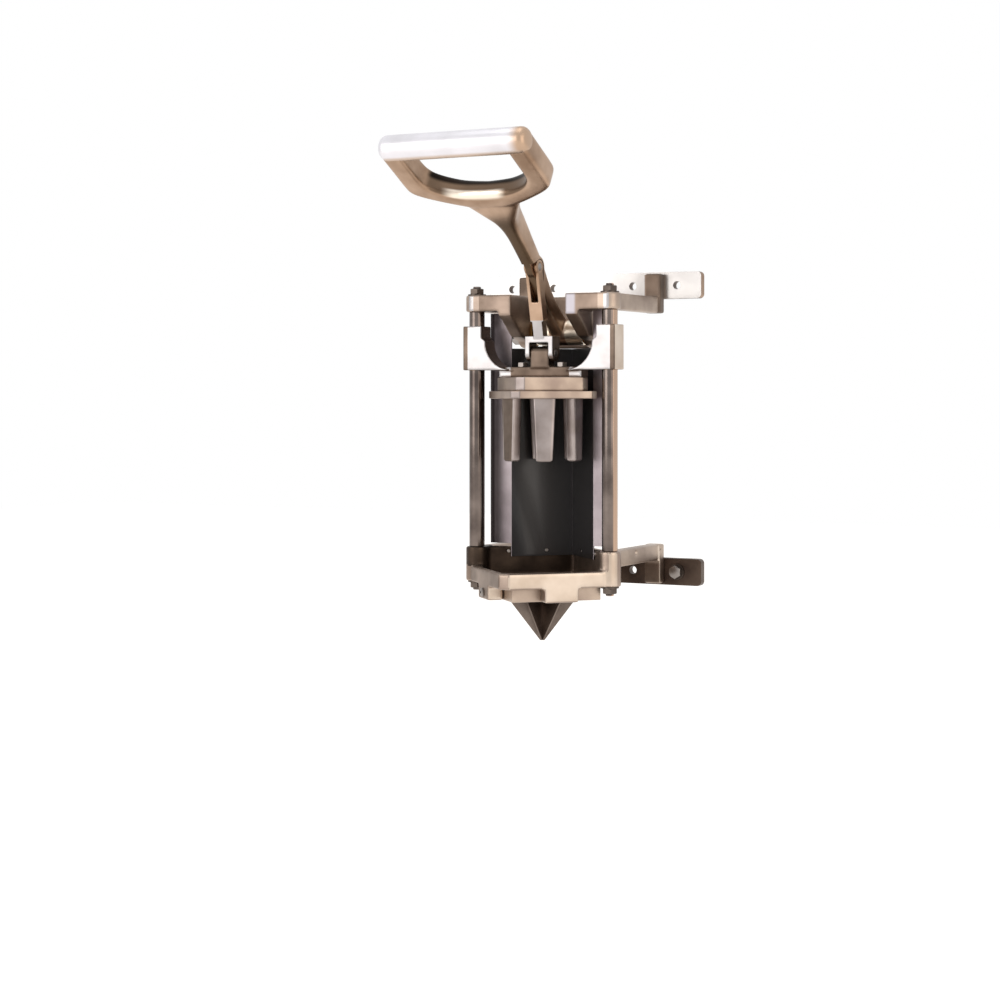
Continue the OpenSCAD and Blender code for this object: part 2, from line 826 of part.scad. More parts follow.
module crosshead() {
    color(POLISHED) at_axis() difference() {
        union() {
            rotate([90, 0, 0]) translate([0, 0, -cross_r])
                linear_extrude(2 * cross_r) crosshead_outline();
            block([-pad_half, cross_recess - cross_r, pad_bot], [pad_half, cross_r, floor_top]);
            side_plate(cross_lug_half) {
                translate([0, fork_z]) circle(cross_lug_r);
                translate([-cross_lug_r, floor_top - 1])
                    square([2 * cross_lug_r, fork_z - floor_top + 1]);
            }
        }
        both_sides() translate([rod_x, 0, 0]) {
            translate([0, 0, cross_bot - 1]) cylinder(d = rod_d + rod_room, h = cross_h + 2);
            translate([0, 0, cross_bot - 1]) cylinder(d = bush_d, h = bush_len + 1);
            translate([0, 0, cross_top - bush_len]) cylinder(d = bush_d, h = bush_len + 1);
        }
        along_x(-cross_lug_half - 1, 0, fork_z, lug_bore_d, 2 * cross_lug_half + 2);
        push_bolt_places() translate([0, 0, pad_bot - 1])
            cylinder(d = push_bolt_d + 2 * screw_fit, h = cross_h);
    }
}

module guide_bushes() {
    color(BRONZE) at_axis() both_sides()
        for (z = [cross_bot, cross_top - bush_len]) translate([rod_x, 0, z]) difference() {
            cylinder(d = bush_d, h = bush_len);
            translate([0, 0, -1]) cylinder(d = rod_d + 2 * run_fit, h = bush_len + 2);
        }
}

module lug_bush() {
    color(BRONZE) at_axis() difference() {
        along_x(-cross_lug_half, 0, fork_z, lug_bore_d, 2 * cross_lug_half);
        along_x(-cross_lug_half - 1, 0, fork_z, fork_pin_d, 2 * cross_lug_half + 2);
    }
}

// ---- pusher -----------------------------------------------------------------

module pusher_bolts() {
    color(STEEL) at_axis() push_bolt_places() {
        translate([0, 0, floor_top]) hexagon(push_head_af, push_head_h);
        translate([0, 0, floor_top - push_bolt_len])
            cylinder(d = push_bolt_d, h = push_bolt_len + 1);
    }
}

module plate_screw_places() {
    for (a = [30, 150, 210, 330]) rotate([0, 0, a]) translate([plate_screw_r, 0, 0]) children();
}

module finger_angles() {
    for (a = [0:60:300]) rotate([0, 0, a]) children();
}

module pusher_block() {
    color(CAST) at_axis() difference() {
        cut_diamond(block_diag, corner_flat, plate_top, pad_bot);
        push_bolt_places() translate([0, 0, floor_top - push_bolt_len - 1])
            cylinder(d = push_bolt_d + 2 * screw_fit, h = push_bolt_len);
        plate_screw_places() translate([0, 0, plate_top - 1])
            cylinder(d = small_screw_d + 2 * screw_fit, h = plate_screw_bite + 2);
    }
}

module pusher_plate() {
    hole_d = small_screw_d + 2 * screw_fit;
    sink_d = small_head_d + 4 * screw_fit;
    sink_h = small_head_h + head_room;
    color(POLISHED) at_axis() difference() {
        cut_diamond(plate_diag, corner_flat, plate_bot, plate_top);
        plate_screw_places() translate([0, 0, plate_bot - 1]) {
            cylinder(d = hole_d, h = plate_t + 2);
            cylinder(d = sink_d, h = sink_h + 1);
        }
        finger_angles() translate([finger_at, 0, 0]) {
            translate([0, 0, plate_bot - 1]) cylinder(d = hole_d, h = plate_t + 2);
            translate([0, 0, plate_top - sink_h]) cylinder(d = sink_d, h = sink_h + 1);
        }
    }
}

// Socket head screws that come up through the plate into the block
module plate_screws() {
    color(STEEL) at_axis() plate_screw_places() translate([0, 0, plate_bot + head_room]) {
        cylinder(d = small_head_d, h = small_head_h);
        cylinder(d = small_screw_d, h = plate_t - head_room + plate_screw_bite);
    }
}

// Cheese head screws that go down through the plate into the fingers
module finger_screws() {
    color(STEEL) at_axis() finger_angles()
        translate([finger_at, 0, plate_top - small_head_h - head_room]) {
            cylinder(d = small_head_d, h = small_head_h);
            translate([0, 0, -finger_screw_len])
                cylinder(d = small_screw_d, h = finger_screw_len + 1);
        }
}

// Front outline of a finger: it narrows to a rounded tip
module finger_outline() {
    r = finger_round;
    polygon(concat([[finger_w / 2, 0], [-finger_w / 2, 0]],
        circle_points(-finger_tip_w / 2 + r, r - finger_len, r, 180, 270, 4),
        circle_points(finger_tip_w / 2 - r, r - finger_len, r, 270, 360, 4)));
}

module pusher_fingers() {
    color(POLISHED) at_axis() finger_angles() translate([finger_at, 0, plate_bot])
        difference() {
            rotate([90, 0, 90]) translate([0, 0, -finger_t / 2])
                linear_extrude(finger_t) finger_outline();
            translate([0, 0, -finger_screw_len])
                cylinder(d = small_screw_d + 2 * screw_fit, h = finger_screw_len + 1);
        }
}

// ---- lever ------------------------------------------------------------------

// The lever's own plane: u runs forwards from the pivot, v upwards
module lever_plane(w) {
    at_pivot() mirror([0, 1, 0]) side_plate(w) children();
}

// Places a child at the root of the loop with +X across, +Y along the loop, +Z out of it
module at_loop() {
    at_pivot() translate([0, -neck_fwd, neck_up]) rotate([-loop_tilt, 0, 0])
        mirror([0, 1, 0]) children();
}

function unit(v) = v / norm(v);
function arm_dir(i) = unit(arm_mid[min(i + 1, len(arm_mid) - 1)] - arm_mid[max(i - 1, 0)]);
function arm_edge(i, s) = arm_mid[i] + s * arm_half[i] * [-arm_dir(i)[1], arm_dir(i)[0]];
arm_points = concat([for (i = [0:len(arm_mid) - 1]) arm_edge(i, 1)],
    [for (i = [len(arm_mid) - 1:-1:0]) arm_edge(i, -1)]);

// Outline of the loop: tongue at the arm, V shaped rear bar, square front
function loop_outer() = concat(
    [[lever_w / 2 - 2, -18], [lever_w / 2 + 3, 2], [25, 25]],
    circle_points(loop_side - loop_corner_r, loop_corner_y, loop_corner_r, -60, 0, 5),
    [[loop_side, loop_len]]);
function loop_inner() = concat(
    [[0, loop_inner_y], [28, loop_inner_y + 2], [48, loop_inner_y + 8]],
    circle_points(loop_side - loop_bar - loop_inner_r, loop_inner_y + 25, loop_inner_r,
        -60, 0, 3),
    [[loop_side - loop_bar, loop_len]]);

module loop_bars() {
    translate([0, 0, -loop_t / 2]) linear_extrude(loop_t) difference() {
        polygon(concat(loop_outer(), mirror_x(loop_outer())));
        polygon(concat(loop_inner(), mirror_x(loop_inner())));
    }
}

// Grip bar with rounded ends, lying across the front of the loop
module grip() {
    r = grip_d / 2;
    e = grip_round;
    translate([0, loop_len, 0]) rotate([0, 90, 0]) rotate_extrude()
        polygon(concat([[0, -loop_half]],
            circle_points(r - e, e - loop_half, e, -90, 0, 5),
            circle_points(r - e, loop_half - e, e, 0, 90, 5), [[0, loop_half]]));
}

// Room for a leg of the link's upper fork over its whole swing
module eye_slot() {
    from = -90 - link_lean;
    to = -link_lean;
    reach = link_neck + side_gap * 4;
    h = slot_depth;
    translate([crank_off, crank_off]) polygon(concat(
        [circle_point(h, from - 90) + circle_point(reach, from)],
        circle_points(0, 0, norm([reach, h]), from, to, 6),
        [circle_point(reach, to) + circle_point(h, to + 90)],
        circle_points(0, 0, h, to + 90, from + 270, 6)));
}

module lever() {
    color(HANDLE) difference() {
        union() {
            lever_plane(lever_w / 2) {
                polygon(arm_points);
                translate([crank_off, crank_off]) circle(pin_boss_r);
            }
            lever_plane(hub_half) circle(hub_r);
            at_loop() {
                loop_bars();
                grip();
            }
        }
        both_sides() translate([tongue_half + leg_out, 0, 0]) lever_plane(leg_out) eye_slot();
        at_pivot() {
            along_x(-hub_half - 1, 0, 0, shaft_d + 1, 2 * hub_half + 2);
            both_sides() along_x(hub_half - lever_bush_len, 0, 0, lever_bush_d,
                lever_bush_len + 1);
            along_x(-lever_w, -crank_off, crank_off, pin_d + 2 * screw_fit, 2 * lever_w);
        }
    }
}

module lever_bushes() {
    color(BRONZE) at_pivot() both_sides() difference() {
        along_x(hub_half - lever_bush_len, 0, 0, lever_bush_d, lever_bush_len);
        along_x(hub_half - lever_bush_len - 1, 0, 0, shaft_d + 2 * run_fit,
            lever_bush_len + 2);
    }
}

module link_pin() {
    color(STEEL) at_pivot()
        along_x(-lever_w / 2, -crank_off, crank_off, pin_d, lever_w);
}

// ---- link -------------------------------------------------------------------

// Stands at the link pin with -Z along the link towards the crosshead
module at_link() {
    at_pivot() translate([0, -crank_off, crank_off]) rotate([link_lean, 0, 0]) children();
}

module link() {
    color(POLISHED) difference() {
        union() {
            at_link() {
                both_sides() {
                    along_x(leg_in, 0, 0, 2 * eye_r, leg_out - leg_in);
                    block([leg_in, -link_depth / 2, -link_neck - 1],
                        [leg_out, link_depth / 2, 0]);
                }
                block([-leg_out, -link_depth / 2, -link_step],
                    [leg_out, link_depth / 2, -link_neck]);
                block([-link_w / 2, -link_depth / 2, fork_end_r + bridge_h - link_len],
                    [link_w / 2, link_depth / 2, 1 - link_step]);
            }
            at_axis() {
                block([-fork_out, -fork_end_r, bridge_bot],
                    [fork_out, fork_end_r, bridge_bot + bridge_h]);
                both_sides() translate([(fork_in + fork_out) / 2, 0, 0])
                    side_plate(fork_leg_t / 2) {
                        translate([0, fork_z]) circle(fork_end_r);
                        translate([-fork_end_r, fork_z])
                            square([2 * fork_end_r, bridge_bot + 1 - fork_z]);
                    }
            }
        }
        at_link() along_x(-lever_w, 0, 0, pin_d + 2 * run_fit, 2 * lever_w);
        at_axis() along_x(-fork_out - 1, 0, fork_z, fork_pin_d, 2 * fork_out + 2);
    }
}

module fork_pins() {
    color(STEEL) at_axis() both_sides() along_x(fork_in, 0, fork_z, fork_pin_d, fork_leg_t);
}

upper_wall_rail();
lower_wall_rail();
rail_screws();
lag_screws();
lag_washers();
head_casting();
base_casting();
left_guide_rod();
right_guide_rod();
rod_nuts();
rod_washers();
back_guard();
guard_screws();
blade_frame();
wedge_blades();
blade_frame_screws();
pivot_shaft();
shaft_nuts();
shaft_washers();
friction_washers();
crosshead();
guide_bushes();
lug_bush();
pusher_bolts();
pusher_block();
pusher_plate();
plate_screws();
pusher_fingers();
finger_screws();
lever();
lever_bushes();
link_pin();
link();
fork_pins();
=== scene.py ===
# %% [markdown]
# # A wall-mounted potato wedge cutter
#
# Two rails are screwed to a wall and carry two aluminium castings. Two ground rods join
# the castings. A crosshead slides on the rods, and a long handle pulls it down through a
# link, so that six fingers push a potato through crossed blades.
#
# The engineering model is loaded first. It gives every size and every hinge, and the
# shapes below are finer skins for its parts, with the same outside.

import math

import bpy
import numpy as np
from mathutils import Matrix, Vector


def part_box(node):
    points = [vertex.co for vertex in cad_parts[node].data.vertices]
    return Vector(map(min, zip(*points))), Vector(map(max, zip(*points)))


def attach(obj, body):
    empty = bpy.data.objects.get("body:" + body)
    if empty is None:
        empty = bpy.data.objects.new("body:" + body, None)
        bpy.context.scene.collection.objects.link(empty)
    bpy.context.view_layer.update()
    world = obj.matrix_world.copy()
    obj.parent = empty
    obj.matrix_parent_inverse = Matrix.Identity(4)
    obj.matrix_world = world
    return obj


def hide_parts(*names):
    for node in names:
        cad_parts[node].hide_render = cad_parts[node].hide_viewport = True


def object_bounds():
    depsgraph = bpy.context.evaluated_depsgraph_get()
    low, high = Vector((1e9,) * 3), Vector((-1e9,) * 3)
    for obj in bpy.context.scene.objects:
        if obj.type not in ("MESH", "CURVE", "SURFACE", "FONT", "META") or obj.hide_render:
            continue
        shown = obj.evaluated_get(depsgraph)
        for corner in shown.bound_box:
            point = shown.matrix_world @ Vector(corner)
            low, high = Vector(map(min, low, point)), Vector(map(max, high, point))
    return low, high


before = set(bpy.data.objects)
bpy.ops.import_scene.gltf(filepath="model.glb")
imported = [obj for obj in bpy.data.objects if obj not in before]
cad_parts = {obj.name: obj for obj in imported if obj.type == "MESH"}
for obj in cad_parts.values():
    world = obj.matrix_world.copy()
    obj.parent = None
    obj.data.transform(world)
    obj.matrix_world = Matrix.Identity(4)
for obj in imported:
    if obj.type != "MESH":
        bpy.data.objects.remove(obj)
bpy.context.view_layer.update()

# %% [markdown]
# Blender works in metres. A maker thinks in millimetres, so each size below is written
# in millimetres and multiplied by `MM`. The places that matter are read from the model:
# the cutting axis, the rods, the hinge of the handle and the pin of the link.

# %% Places taken from the model
MM = 0.001
X, Y, Z = np.eye(3)
BOTH = (-1, 1)


def corners(node):
    """Both corners of a CAD node's box, the low one and the high one."""
    return np.array(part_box(node))


def middle(node):
    """Middle of a CAD node's box."""
    return corners(node).sum(axis=0) / 2


def at(x, y, z):
    """Point from millimetres."""
    return np.array([x, y, z]) * MM


axis = middle("right_guide_rod") * Y
pivot = middle("pivot_shaft")
link_pin = middle("link_pin")
crank = link_pin[2] - pivot[2]
print("cutting axis y:", axis[1], "- handle hinge:", pivot.round(4), "- crank:", round(crank, 4))

# %% [markdown]
# ## Skins as grids of points
#
# Nearly every part of this machine is turned, drawn or cast, so its surface is a row of
# closed rings: rings round an axis for a screw, rings along a path for the handle. One
# function turns a stack of rings into a closed skin. It measures the signed volume, the
# sum of a . (b x c) / 6 over its triangles, and turns the faces round if that comes out
# negative, so that every face points outwards.


# %% Rings to a closed skin
def skin(rings):
    """Points and faces of a closed skin: quads between rings, one flat face on each end."""
    rows, cols = rings.shape[:2]
    index = np.arange(rows * cols).reshape(rows, cols)
    beside = np.roll(index, -1, axis=1)
    quads = np.stack([index[:-1], beside[:-1], beside[1:], index[1:]], axis=-1).reshape(-1, 4)
    points = rings.reshape(-1, 3)
    first, last = index[0][::-1], index[-1]
    fans = [np.stack([np.full(cols - 2, e[0]), e[1:-1], e[2:]], axis=-1) for e in (first, last)]
    triangles = np.concatenate([quads[:, :3], quads[:, [0, 2, 3]], *fans])
    a, b, c = (points[triangles[:, k]] - points[0] for k in range(3))
    if (a * np.cross(b, c)).sum() < 0:
        quads, first, last = quads[:, ::-1], first[::-1], last[::-1]
    return points, quads.tolist() + [first.tolist(), last.tolist()]


def join_skins(skins):
    """Several skins as one list of points and one list of faces."""
    points, faces, start = [], [], 0
    for some_points, some_faces in skins:
        points.append(some_points)
        faces += [[start + k for k in face] for face in some_faces]
        start += len(some_points)
    return np.concatenate(points), faces


print("skin() closes a tube of", len(skin(np.zeros((3, 8, 3)))[1]), "faces from 3 rings of 8")

# %% [markdown]
# A finished part is one mesh object. It names the body that it moves with and hides the
# CAD nodes that it stands for. Edges sharper than 35 degrees stay crisp and the rest is
# shaded smooth.

# %% One finished part
CRISP = math.radians(35)


def make_mesh(name, points, faces):
    """Mesh object at the origin from points and faces."""
    mesh = bpy.data.meshes.new(name)
    mesh.from_pydata(np.asarray(points, float).tolist(), [], faces)
    mesh.update()
    made = bpy.data.objects.new(name, mesh)
    bpy.context.scene.collection.objects.link(made)
    return made


def numbers(items, name):
    """Three numbers of every item, read at once as rows of an array."""
    values = np.zeros(len(items) * 3)
    items.foreach_get(name, values)
    return values.reshape(-1, 3)


def finish_part(made, finish, body, nodes):
    """Shades a part, gives it its material, ties it to its body and hides its CAD nodes."""
    made.data.shade_smooth()
    made.data.set_sharp_from_angle(angle=CRISP)
    made.data.materials.clear()
    made.data.materials.append(finish)
    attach(made, body)
    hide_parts(*nodes)
    size = np.ptp(numbers(made.data.vertices, "co"), axis=0) / MM
    print(f"{made.name}: {len(made.data.polygons)} faces, {size.round(1)} mm")
    return made


def face_table(made):
    """Normals and centres of all faces, as x, y and z rows, centres in millimetres."""
    faces = made.data.polygons
    return numbers(faces, "normal").T, numbers(faces, "center").T / MM


def refinish(made, finish, chosen):
    """Gives the chosen faces another finish."""
    made.data.materials.append(finish)
    index = np.zeros(len(made.data.polygons), int)
    made.data.polygons.foreach_get("material_index", index)
    index[chosen] = len(made.data.materials) - 1
    made.data.polygons.foreach_set("material_index", index)
    print(f"{made.name}: {chosen.sum()} of {len(chosen)} faces in {finish.name}")


# %% [markdown]
# ## Finishes
#
# Each finish starts from the real metal. The colours are sRGB hex values, and one
# function turns them into the linear light that Blender mixes. The others add nodes
# with their settings and their links.


# %% Colour and nodes
def linear(code):
    """Linear RGBA of an sRGB hex value.

    A channel c becomes c / 12.92 below 0.04045 and ((c + 0.055) / 1.055)^2.4 above.
    """
    srgb = np.array([int(code[k : k + 2], 16) for k in (0, 2, 4)]) / 255
    light = np.where(srgb <= 0.04045, srgb / 12.92, ((srgb + 0.055) / 1.055) ** 2.4)
    return (*light, 1.0)


def add_node(tree, kind, settings=None, **inputs):
    """Adds a node, sets its properties, and sets or links each input named in inputs.

    An input is named with _ for a space, or as input_6 where only its number tells it.
    """
    made = tree.nodes.new("ShaderNode" + kind)
    for key, value in (settings or {}).items():
        setattr(made, key, value)
    for key, value in inputs.items():
        numbered = key.startswith("input_")
        socket = made.inputs[int(key[6:]) if numbered else key.replace("_", " ")]
        if isinstance(value, bpy.types.NodeSocket):
            tree.links.new(value, socket)
        else:
            socket.default_value = value
    return made


def combined(tree, operation, first, second):
    """Result of a math node on two values."""
    made = add_node(tree, "Math", {"operation": operation}, input_0=first, input_1=second)
    return made.outputs[0]


def ranged(tree, value, settings=None, **limits):
    """Value carried from one range of numbers to another."""
    return add_node(tree, "MapRange", settings, Value=value, **limits).outputs[0]


def noise(tree, place, scale, detail):
    """Soft noise, scale waves to the unit of place."""
    made = add_node(tree, "TexNoise", Vector=place, Scale=scale, Detail=detail)
    return made.outputs["Fac"]


def new_tree(name):
    """Material with an empty node tree, that tree, and the place in the object's axes."""
    made = bpy.data.materials.new(name)
    made.use_nodes = True
    made.node_tree.nodes.clear()
    place = add_node(made.node_tree, "TexCoord").outputs["Object"]
    return made, made.node_tree, place


def surface(tree, relief, depth_mm, **looks):
    """Sends a Principled surface with a relief of depth_mm to the output."""
    bump = add_node(tree, "Bump", Height=relief, Distance=depth_mm * MM, Strength=1.0)
    shade = add_node(tree, "BsdfPrincipled", Normal=bump.outputs["Normal"], **looks)
    add_node(tree, "OutputMaterial", Surface=shade.outputs["BSDF"])


print("mid grey in linear light:", round(linear("808080")[0], 3))

# %% [markdown]
# ### Bare metal
#
# Cast, rolled or ground metal is never one flat tone. Two things show at arm's length:
# a slow drift in tone and gloss, from handling and from the skin of the casting, and a
# fine grain from the sand or the grinding belt. The drift is a noise about as wide as a
# thumb. The grain is a second noise, scaled from the size of a grain and stretched along
# the direction of grinding. Metallic is 1 and the index of refraction stays as it is.


# %% A bare metal finish
DRIFT_MM = 38
TONE_LOW, TONE_HIGH = 0.35, 0.65


def mixed(tree, first, second, factor):
    """Colour between first and second: the mix node's inputs 6 and 7 and its output 2."""
    inputs = {"Factor": factor, "input_6": first, "input_7": second}
    return add_node(tree, "Mix", {"data_type": "RGBA"}, **inputs).outputs[2]


def patch_mask(tree, fades):
    """Product of smooth steps, 3 t^2 - 2 t^3 with t from 0 to 1 between start and stop.

    A fade is (output, direction, start, stop): output is Object for a place in
    millimetres or Normal for the way a face looks, both in the object's own axes.
    """
    mask, dot, smooth = None, {"operation": "DOT_PRODUCT"}, {"interpolation_type": "SMOOTHSTEP"}
    for output, direction, start, stop in fades:
        unit = MM if output == "Object" else 1
        source = add_node(tree, "TexCoord").outputs[output]
        along = add_node(tree, "VectorMath", dot, input_0=source, input_1=direction)
        limits = {"From_Min": start * unit, "From_Max": stop * unit}
        step = ranged(tree, along.outputs["Value"], smooth, **limits)
        mask = step if mask is None else combined(tree, "MULTIPLY", mask, step)
    return mask


def bare_metal(
    name, dark, light, gloss, grain_mm, grain_depth_mm, stretch=(1, 1, 1), patches=()
):
    """Metal that drifts between two tones, with a grain stretched along one direction.

    gloss is the lowest and the highest roughness. stretch divides the grain's frequency
    along X, Y and Z. A patch is a colour and the fades that bound it.
    """
    made, tree, place = new_tree(name)
    scale = [1 / (grain_mm * MM * s) for s in stretch]
    fine = add_node(tree, "Mapping", Vector=place, Scale=scale).outputs["Vector"]
    drift = noise(tree, place, 1 / (DRIFT_MM * MM), 4.0)
    tone = ranged(tree, drift, From_Min=TONE_LOW, From_Max=TONE_HIGH)
    colour = mixed(tree, linear(dark), linear(light), tone)
    for patch, fades in patches:
        colour = mixed(tree, colour, linear(patch), patch_mask(tree, fades))
    rough = ranged(tree, drift, To_Min=gloss[1], To_Max=gloss[0])
    looks = {"Base_Color": colour, "Roughness": rough, "Metallic": 1.0}
    surface(tree, noise(tree, fine, 1.0, 2.0), grain_depth_mm, **looks)
    print("finish:", name)
    return made


# %% [markdown]
# The finishes below are named for their metal and for how its surface was made, and names
# that also carry painted light or painted shade say so. Patches of colour fade in and out
# with smooth steps along a direction; the patches here are painted highlights, painted
# shade and a painted reflection.

# %% The metals of the part
# The head: sand cast aluminium, shot blasted, years of grease in its skin. Beside the
# lever's slot the beam's front carries a painted highlight. On the base, this finish
# paints shade on the front left faces.
sand_cast = bare_metal(
    "greased_cast_with_painted_light", "716257", "9a887b", (0.38, 0.5), 0.9, 0.05,
    patches=[("aaa6ac", [("Normal", Y, -0.8, -0.95), ("Object", X, 32, 36),
                         ("Object", -X, -47, -43)])],
)
# The base and the pusher, the same casting but wiped after every use
wiped_cast = bare_metal("wiped_cast_aluminium", "96857a", "b5a495", (0.34, 0.46), 0.9, 0.04)
# Faces that were ground flat on a belt, and painted highlights on the fronts of the
# head's rod bosses
ground_and_highlight = bare_metal("ground_aluminium_painted_highlight", "a09c9c", "bab7b7", (0.26, 0.34), 0.7, 0.015)
# The skin between them, as cast. The same finish paints shade on the base's lugs, on the
# crosshead's lug and on the left sides of the left fingers, and darkens the head's lugs
dull_skin_and_shade = bare_metal("dull_skin_aluminium_painted_shade", "54483f", "7b6b5f", (0.36, 0.46), 0.9, 0.03)
# Painted shade, near black, for the base's well and round its left boss, and a light
# finish that paints light on the base's front right and the crosshead's sides
painted_shade_cast = bare_metal("painted_shade_black_aluminium", "261f1b", "4a3e35", (0.4, 0.5), 0.9, 0.03)
bright_cast = bare_metal("painted_light_aluminium", "bcab9a", "d6c7b8", (0.32, 0.42), 0.9, 0.03)
# The handle and the upper half of its link, cast and tumbled, darkened by hands
TUMBLED = ("917660", "b59a84", (0.3, 0.4), 0.9, 0.03)
tumbled_cast = bare_metal("tumbled_cast_aluminium", *TUMBLED)
# Hard chromed rods, ground round and round: fine rings across the rod. A tan painted
# reflection lies on the outer side of the right one.
ground_chrome = bare_metal(
    "hard_chromed_steel", "544b47", "7b706a", (0.12, 0.2), 0.5, 0.004, (8, 8, 1),
    patches=[("b59a86", [("Normal", (0.89, 0.45, 0), 0.3, 0.5), ("Object", X, 60, 62)])],
)
# Bright rolled steel, brushed along its length
brushed_strip = bare_metal(
    "brushed_steel_strip", "b3b1b0", "c6c4c2", (0.26, 0.34), 0.35, 0.006, (30, 1, 1)
)
zinc_plate = bare_metal("zinc_plated_steel", "7d7672", "a39d98", (0.28, 0.4), 0.6, 0.008)
# Nuts and washers that the grease has blackened
black_zinc = bare_metal("blackened_zinc_plate", "453d38", "6d635c", (0.3, 0.4), 0.6, 0.008)
# Ground tool steel of the blades, darkened by starch
ground_blade = bare_metal(
    "ground_tool_steel", "574c45", "7d7169", (0.3, 0.4), 0.4, 0.008, (1, 1, 12)
)
sintered_bronze = bare_metal("sintered_bronze", "8c6a3e", "a9834f", (0.4, 0.5), 0.5, 0.02)
# The lower rail, the same strip darkened as painted shade, which also lies on the upper
# rail's edges
shaded_strip = bare_metal(
    "painted_shade_rolled_strip", "463a34", "62544a", (0.34, 0.46), 0.6, 0.01, (30, 1, 1)
)
# Cast fingers, buffed, a cool grey, also used as a painted highlight on the front flats
# of the pusher's block and plate
finger_cast = bare_metal("buffed_aluminium_and_highlight", "857b77", "a69c99", (0.28, 0.38), 0.8, 0.015)
# Guard flanges left bare, a cool grey, with painted shade along the outer rim
bare_strip = bare_metal(
    "bare_steel_edge", "80777a", "9c9396", (0.3, 0.38), 0.5, 0.006, (1, 1, 20),
    patches=[("453f40", [("Object", s * X, 70, 73)]) for s in (1, -1)],
)

# %% [markdown]
# ### Black enamel on the guard
#
# The guard behind the potato is sheet steel with a dark stoved enamel. Enamel is glass,
# so it isn't a metal: Metallic is 0, the surface is dark and its gloss is a thin coat
# with a faint ripple, called orange peel, about 3 mm across.


# %% Stoved enamel
def stoved_enamel(name, code, peel_mm):
    """Glossy coat with a ripple of peel_mm."""
    made, tree, place = new_tree(name)
    looks = {"Base_Color": linear(code), "Roughness": 0.34, "Metallic": 0.0}
    coat = {"Coat_Weight": 0.3, "Coat_Roughness": 0.12}
    surface(tree, noise(tree, place, 1 / (peel_mm * MM), 1.0), 0.02, **looks, **coat)
    print("finish:", name)
    return made


dark_enamel = stoved_enamel("dark_stoved_enamel", "221f20", 3.0)

# %% [markdown]
# ## Castings
#
# A sand casting has no sharp edges: the pattern needs rounded corners to leave the sand,
# and the metal fills every inner corner with a small fillet. The engineering model has
# the castings with crisp edges. So each is copied, its loose triangles are merged, the
# Remesh modifier rebuilds it from small cubes, and rounds of Smooth melt its edges.


# %% Soften a casting
def mesh_copy(node, name):
    """Merged copy of a CAD node's mesh, as a new object at the origin."""
    made = bpy.data.objects.new(name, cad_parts[node].data.copy())
    bpy.context.scene.collection.objects.link(made)
    weld = made.modifiers.new("weld", "WELD")
    weld.merge_threshold = 0.001 * MM
    return made


def bake(made):
    """Replaces an object's mesh by the result of its modifiers."""
    graph = bpy.context.evaluated_depsgraph_get()
    baked = bpy.data.meshes.new_from_object(made.evaluated_get(graph))
    made.modifiers.clear()
    made.data = baked
    baked.name = made.name


def melt(made, voxel_mm, rounds):
    """Bakes Remesh and Smooth on top of the modifiers that made already has."""
    cubes = made.modifiers.new("cubes", "REMESH")
    cubes.mode, cubes.voxel_size = "VOXEL", voxel_mm * MM
    soft = made.modifiers.new("soft", "SMOOTH")
    soft.factor, soft.iterations = 0.5, rounds
    bake(made)


def soft_casting(node, finish, body, voxel_mm, rounds=6):
    """A CAD node as a softened casting."""
    made = mesh_copy(node, node + "_skin")
    melt(made, voxel_mm, rounds)
    return finish_part(made, finish, body, (node,))


head = soft_casting("head_casting", sand_cast, "frame", 1.4)
base = soft_casting("base_casting", wiped_cast, "frame", 1.5)
soft_casting("blade_frame", wiped_cast, "frame", 1.0, 4)
block = soft_casting("pusher_block", wiped_cast, "pusher", 1.1, 4)
plate = soft_casting("pusher_plate", wiped_cast, "pusher", 0.9, 3)

# %% [markdown]
# ### Faces with another finish
#
# A casting looks different where it is wiped, ground or never touched, and some faces
# get a second finish for that; others get one as painted light or painted shade. They
# are chosen by where they lie, in millimetres, and by which way they look. A normal's
# part along a direction is the cosine between the two, so a limit of 0.9 takes the faces
# within 26 degrees. The arms of the head are wiped and its lugs are darker, and the
# fronts of its rod bosses carry a painted highlight. The base is painted lighter on its
# front right and darker on its front left, painted shade fills its well and the hollow
# round its left boss, and the front of its lugs carries painted shade. The front flats
# of the pusher carry a painted highlight.

# %% Worn faces of the frame and the pusher
ARM_SIDE, LUG_FRONT = 72, -24
BOSS_MIDDLE, BOSS_HALF, BOSS_FRONT = 82.5, 3, -145
DIAGONAL, DIAGONAL_LEFT = np.array([[1, -1, 0], [-1, -1, 0]]) * 0.7071
WELL_FLOOR, WELL_HALF, WELL_DIAGONAL = -165, 62, 78
LEFT_BOSS, LEFT_BOSS_BACK, RIM_TOP = -62, -115, -150

normals, (x, y, z) = face_table(head)
side, front = abs(x) > ARM_SIDE, y < LUG_FRONT
refinish(head, wiped_cast, side & front)
refinish(head, dull_skin_and_shade, side & ~front)
# The fronts of the rod bosses carry a painted highlight.
boss_front = (normals[1] < -0.9) & (abs(abs(x) - BOSS_MIDDLE) < BOSS_HALF) & (y < BOSS_FRONT)
refinish(head, ground_and_highlight, boss_front)

normals, (x, y, z) = face_table(base)
aside, ahead = abs(x), y - axis[1] / MM
inward = normals[0] * x + normals[1] * ahead < 0
wall = (abs(normals[2]) < 0.5) & (z > WELL_FLOOR)
# Front right faces painted lighter and front left faces darker: painted light and painted shade.
refinish(base, bright_cast, DIAGONAL @ normals > 0.9)
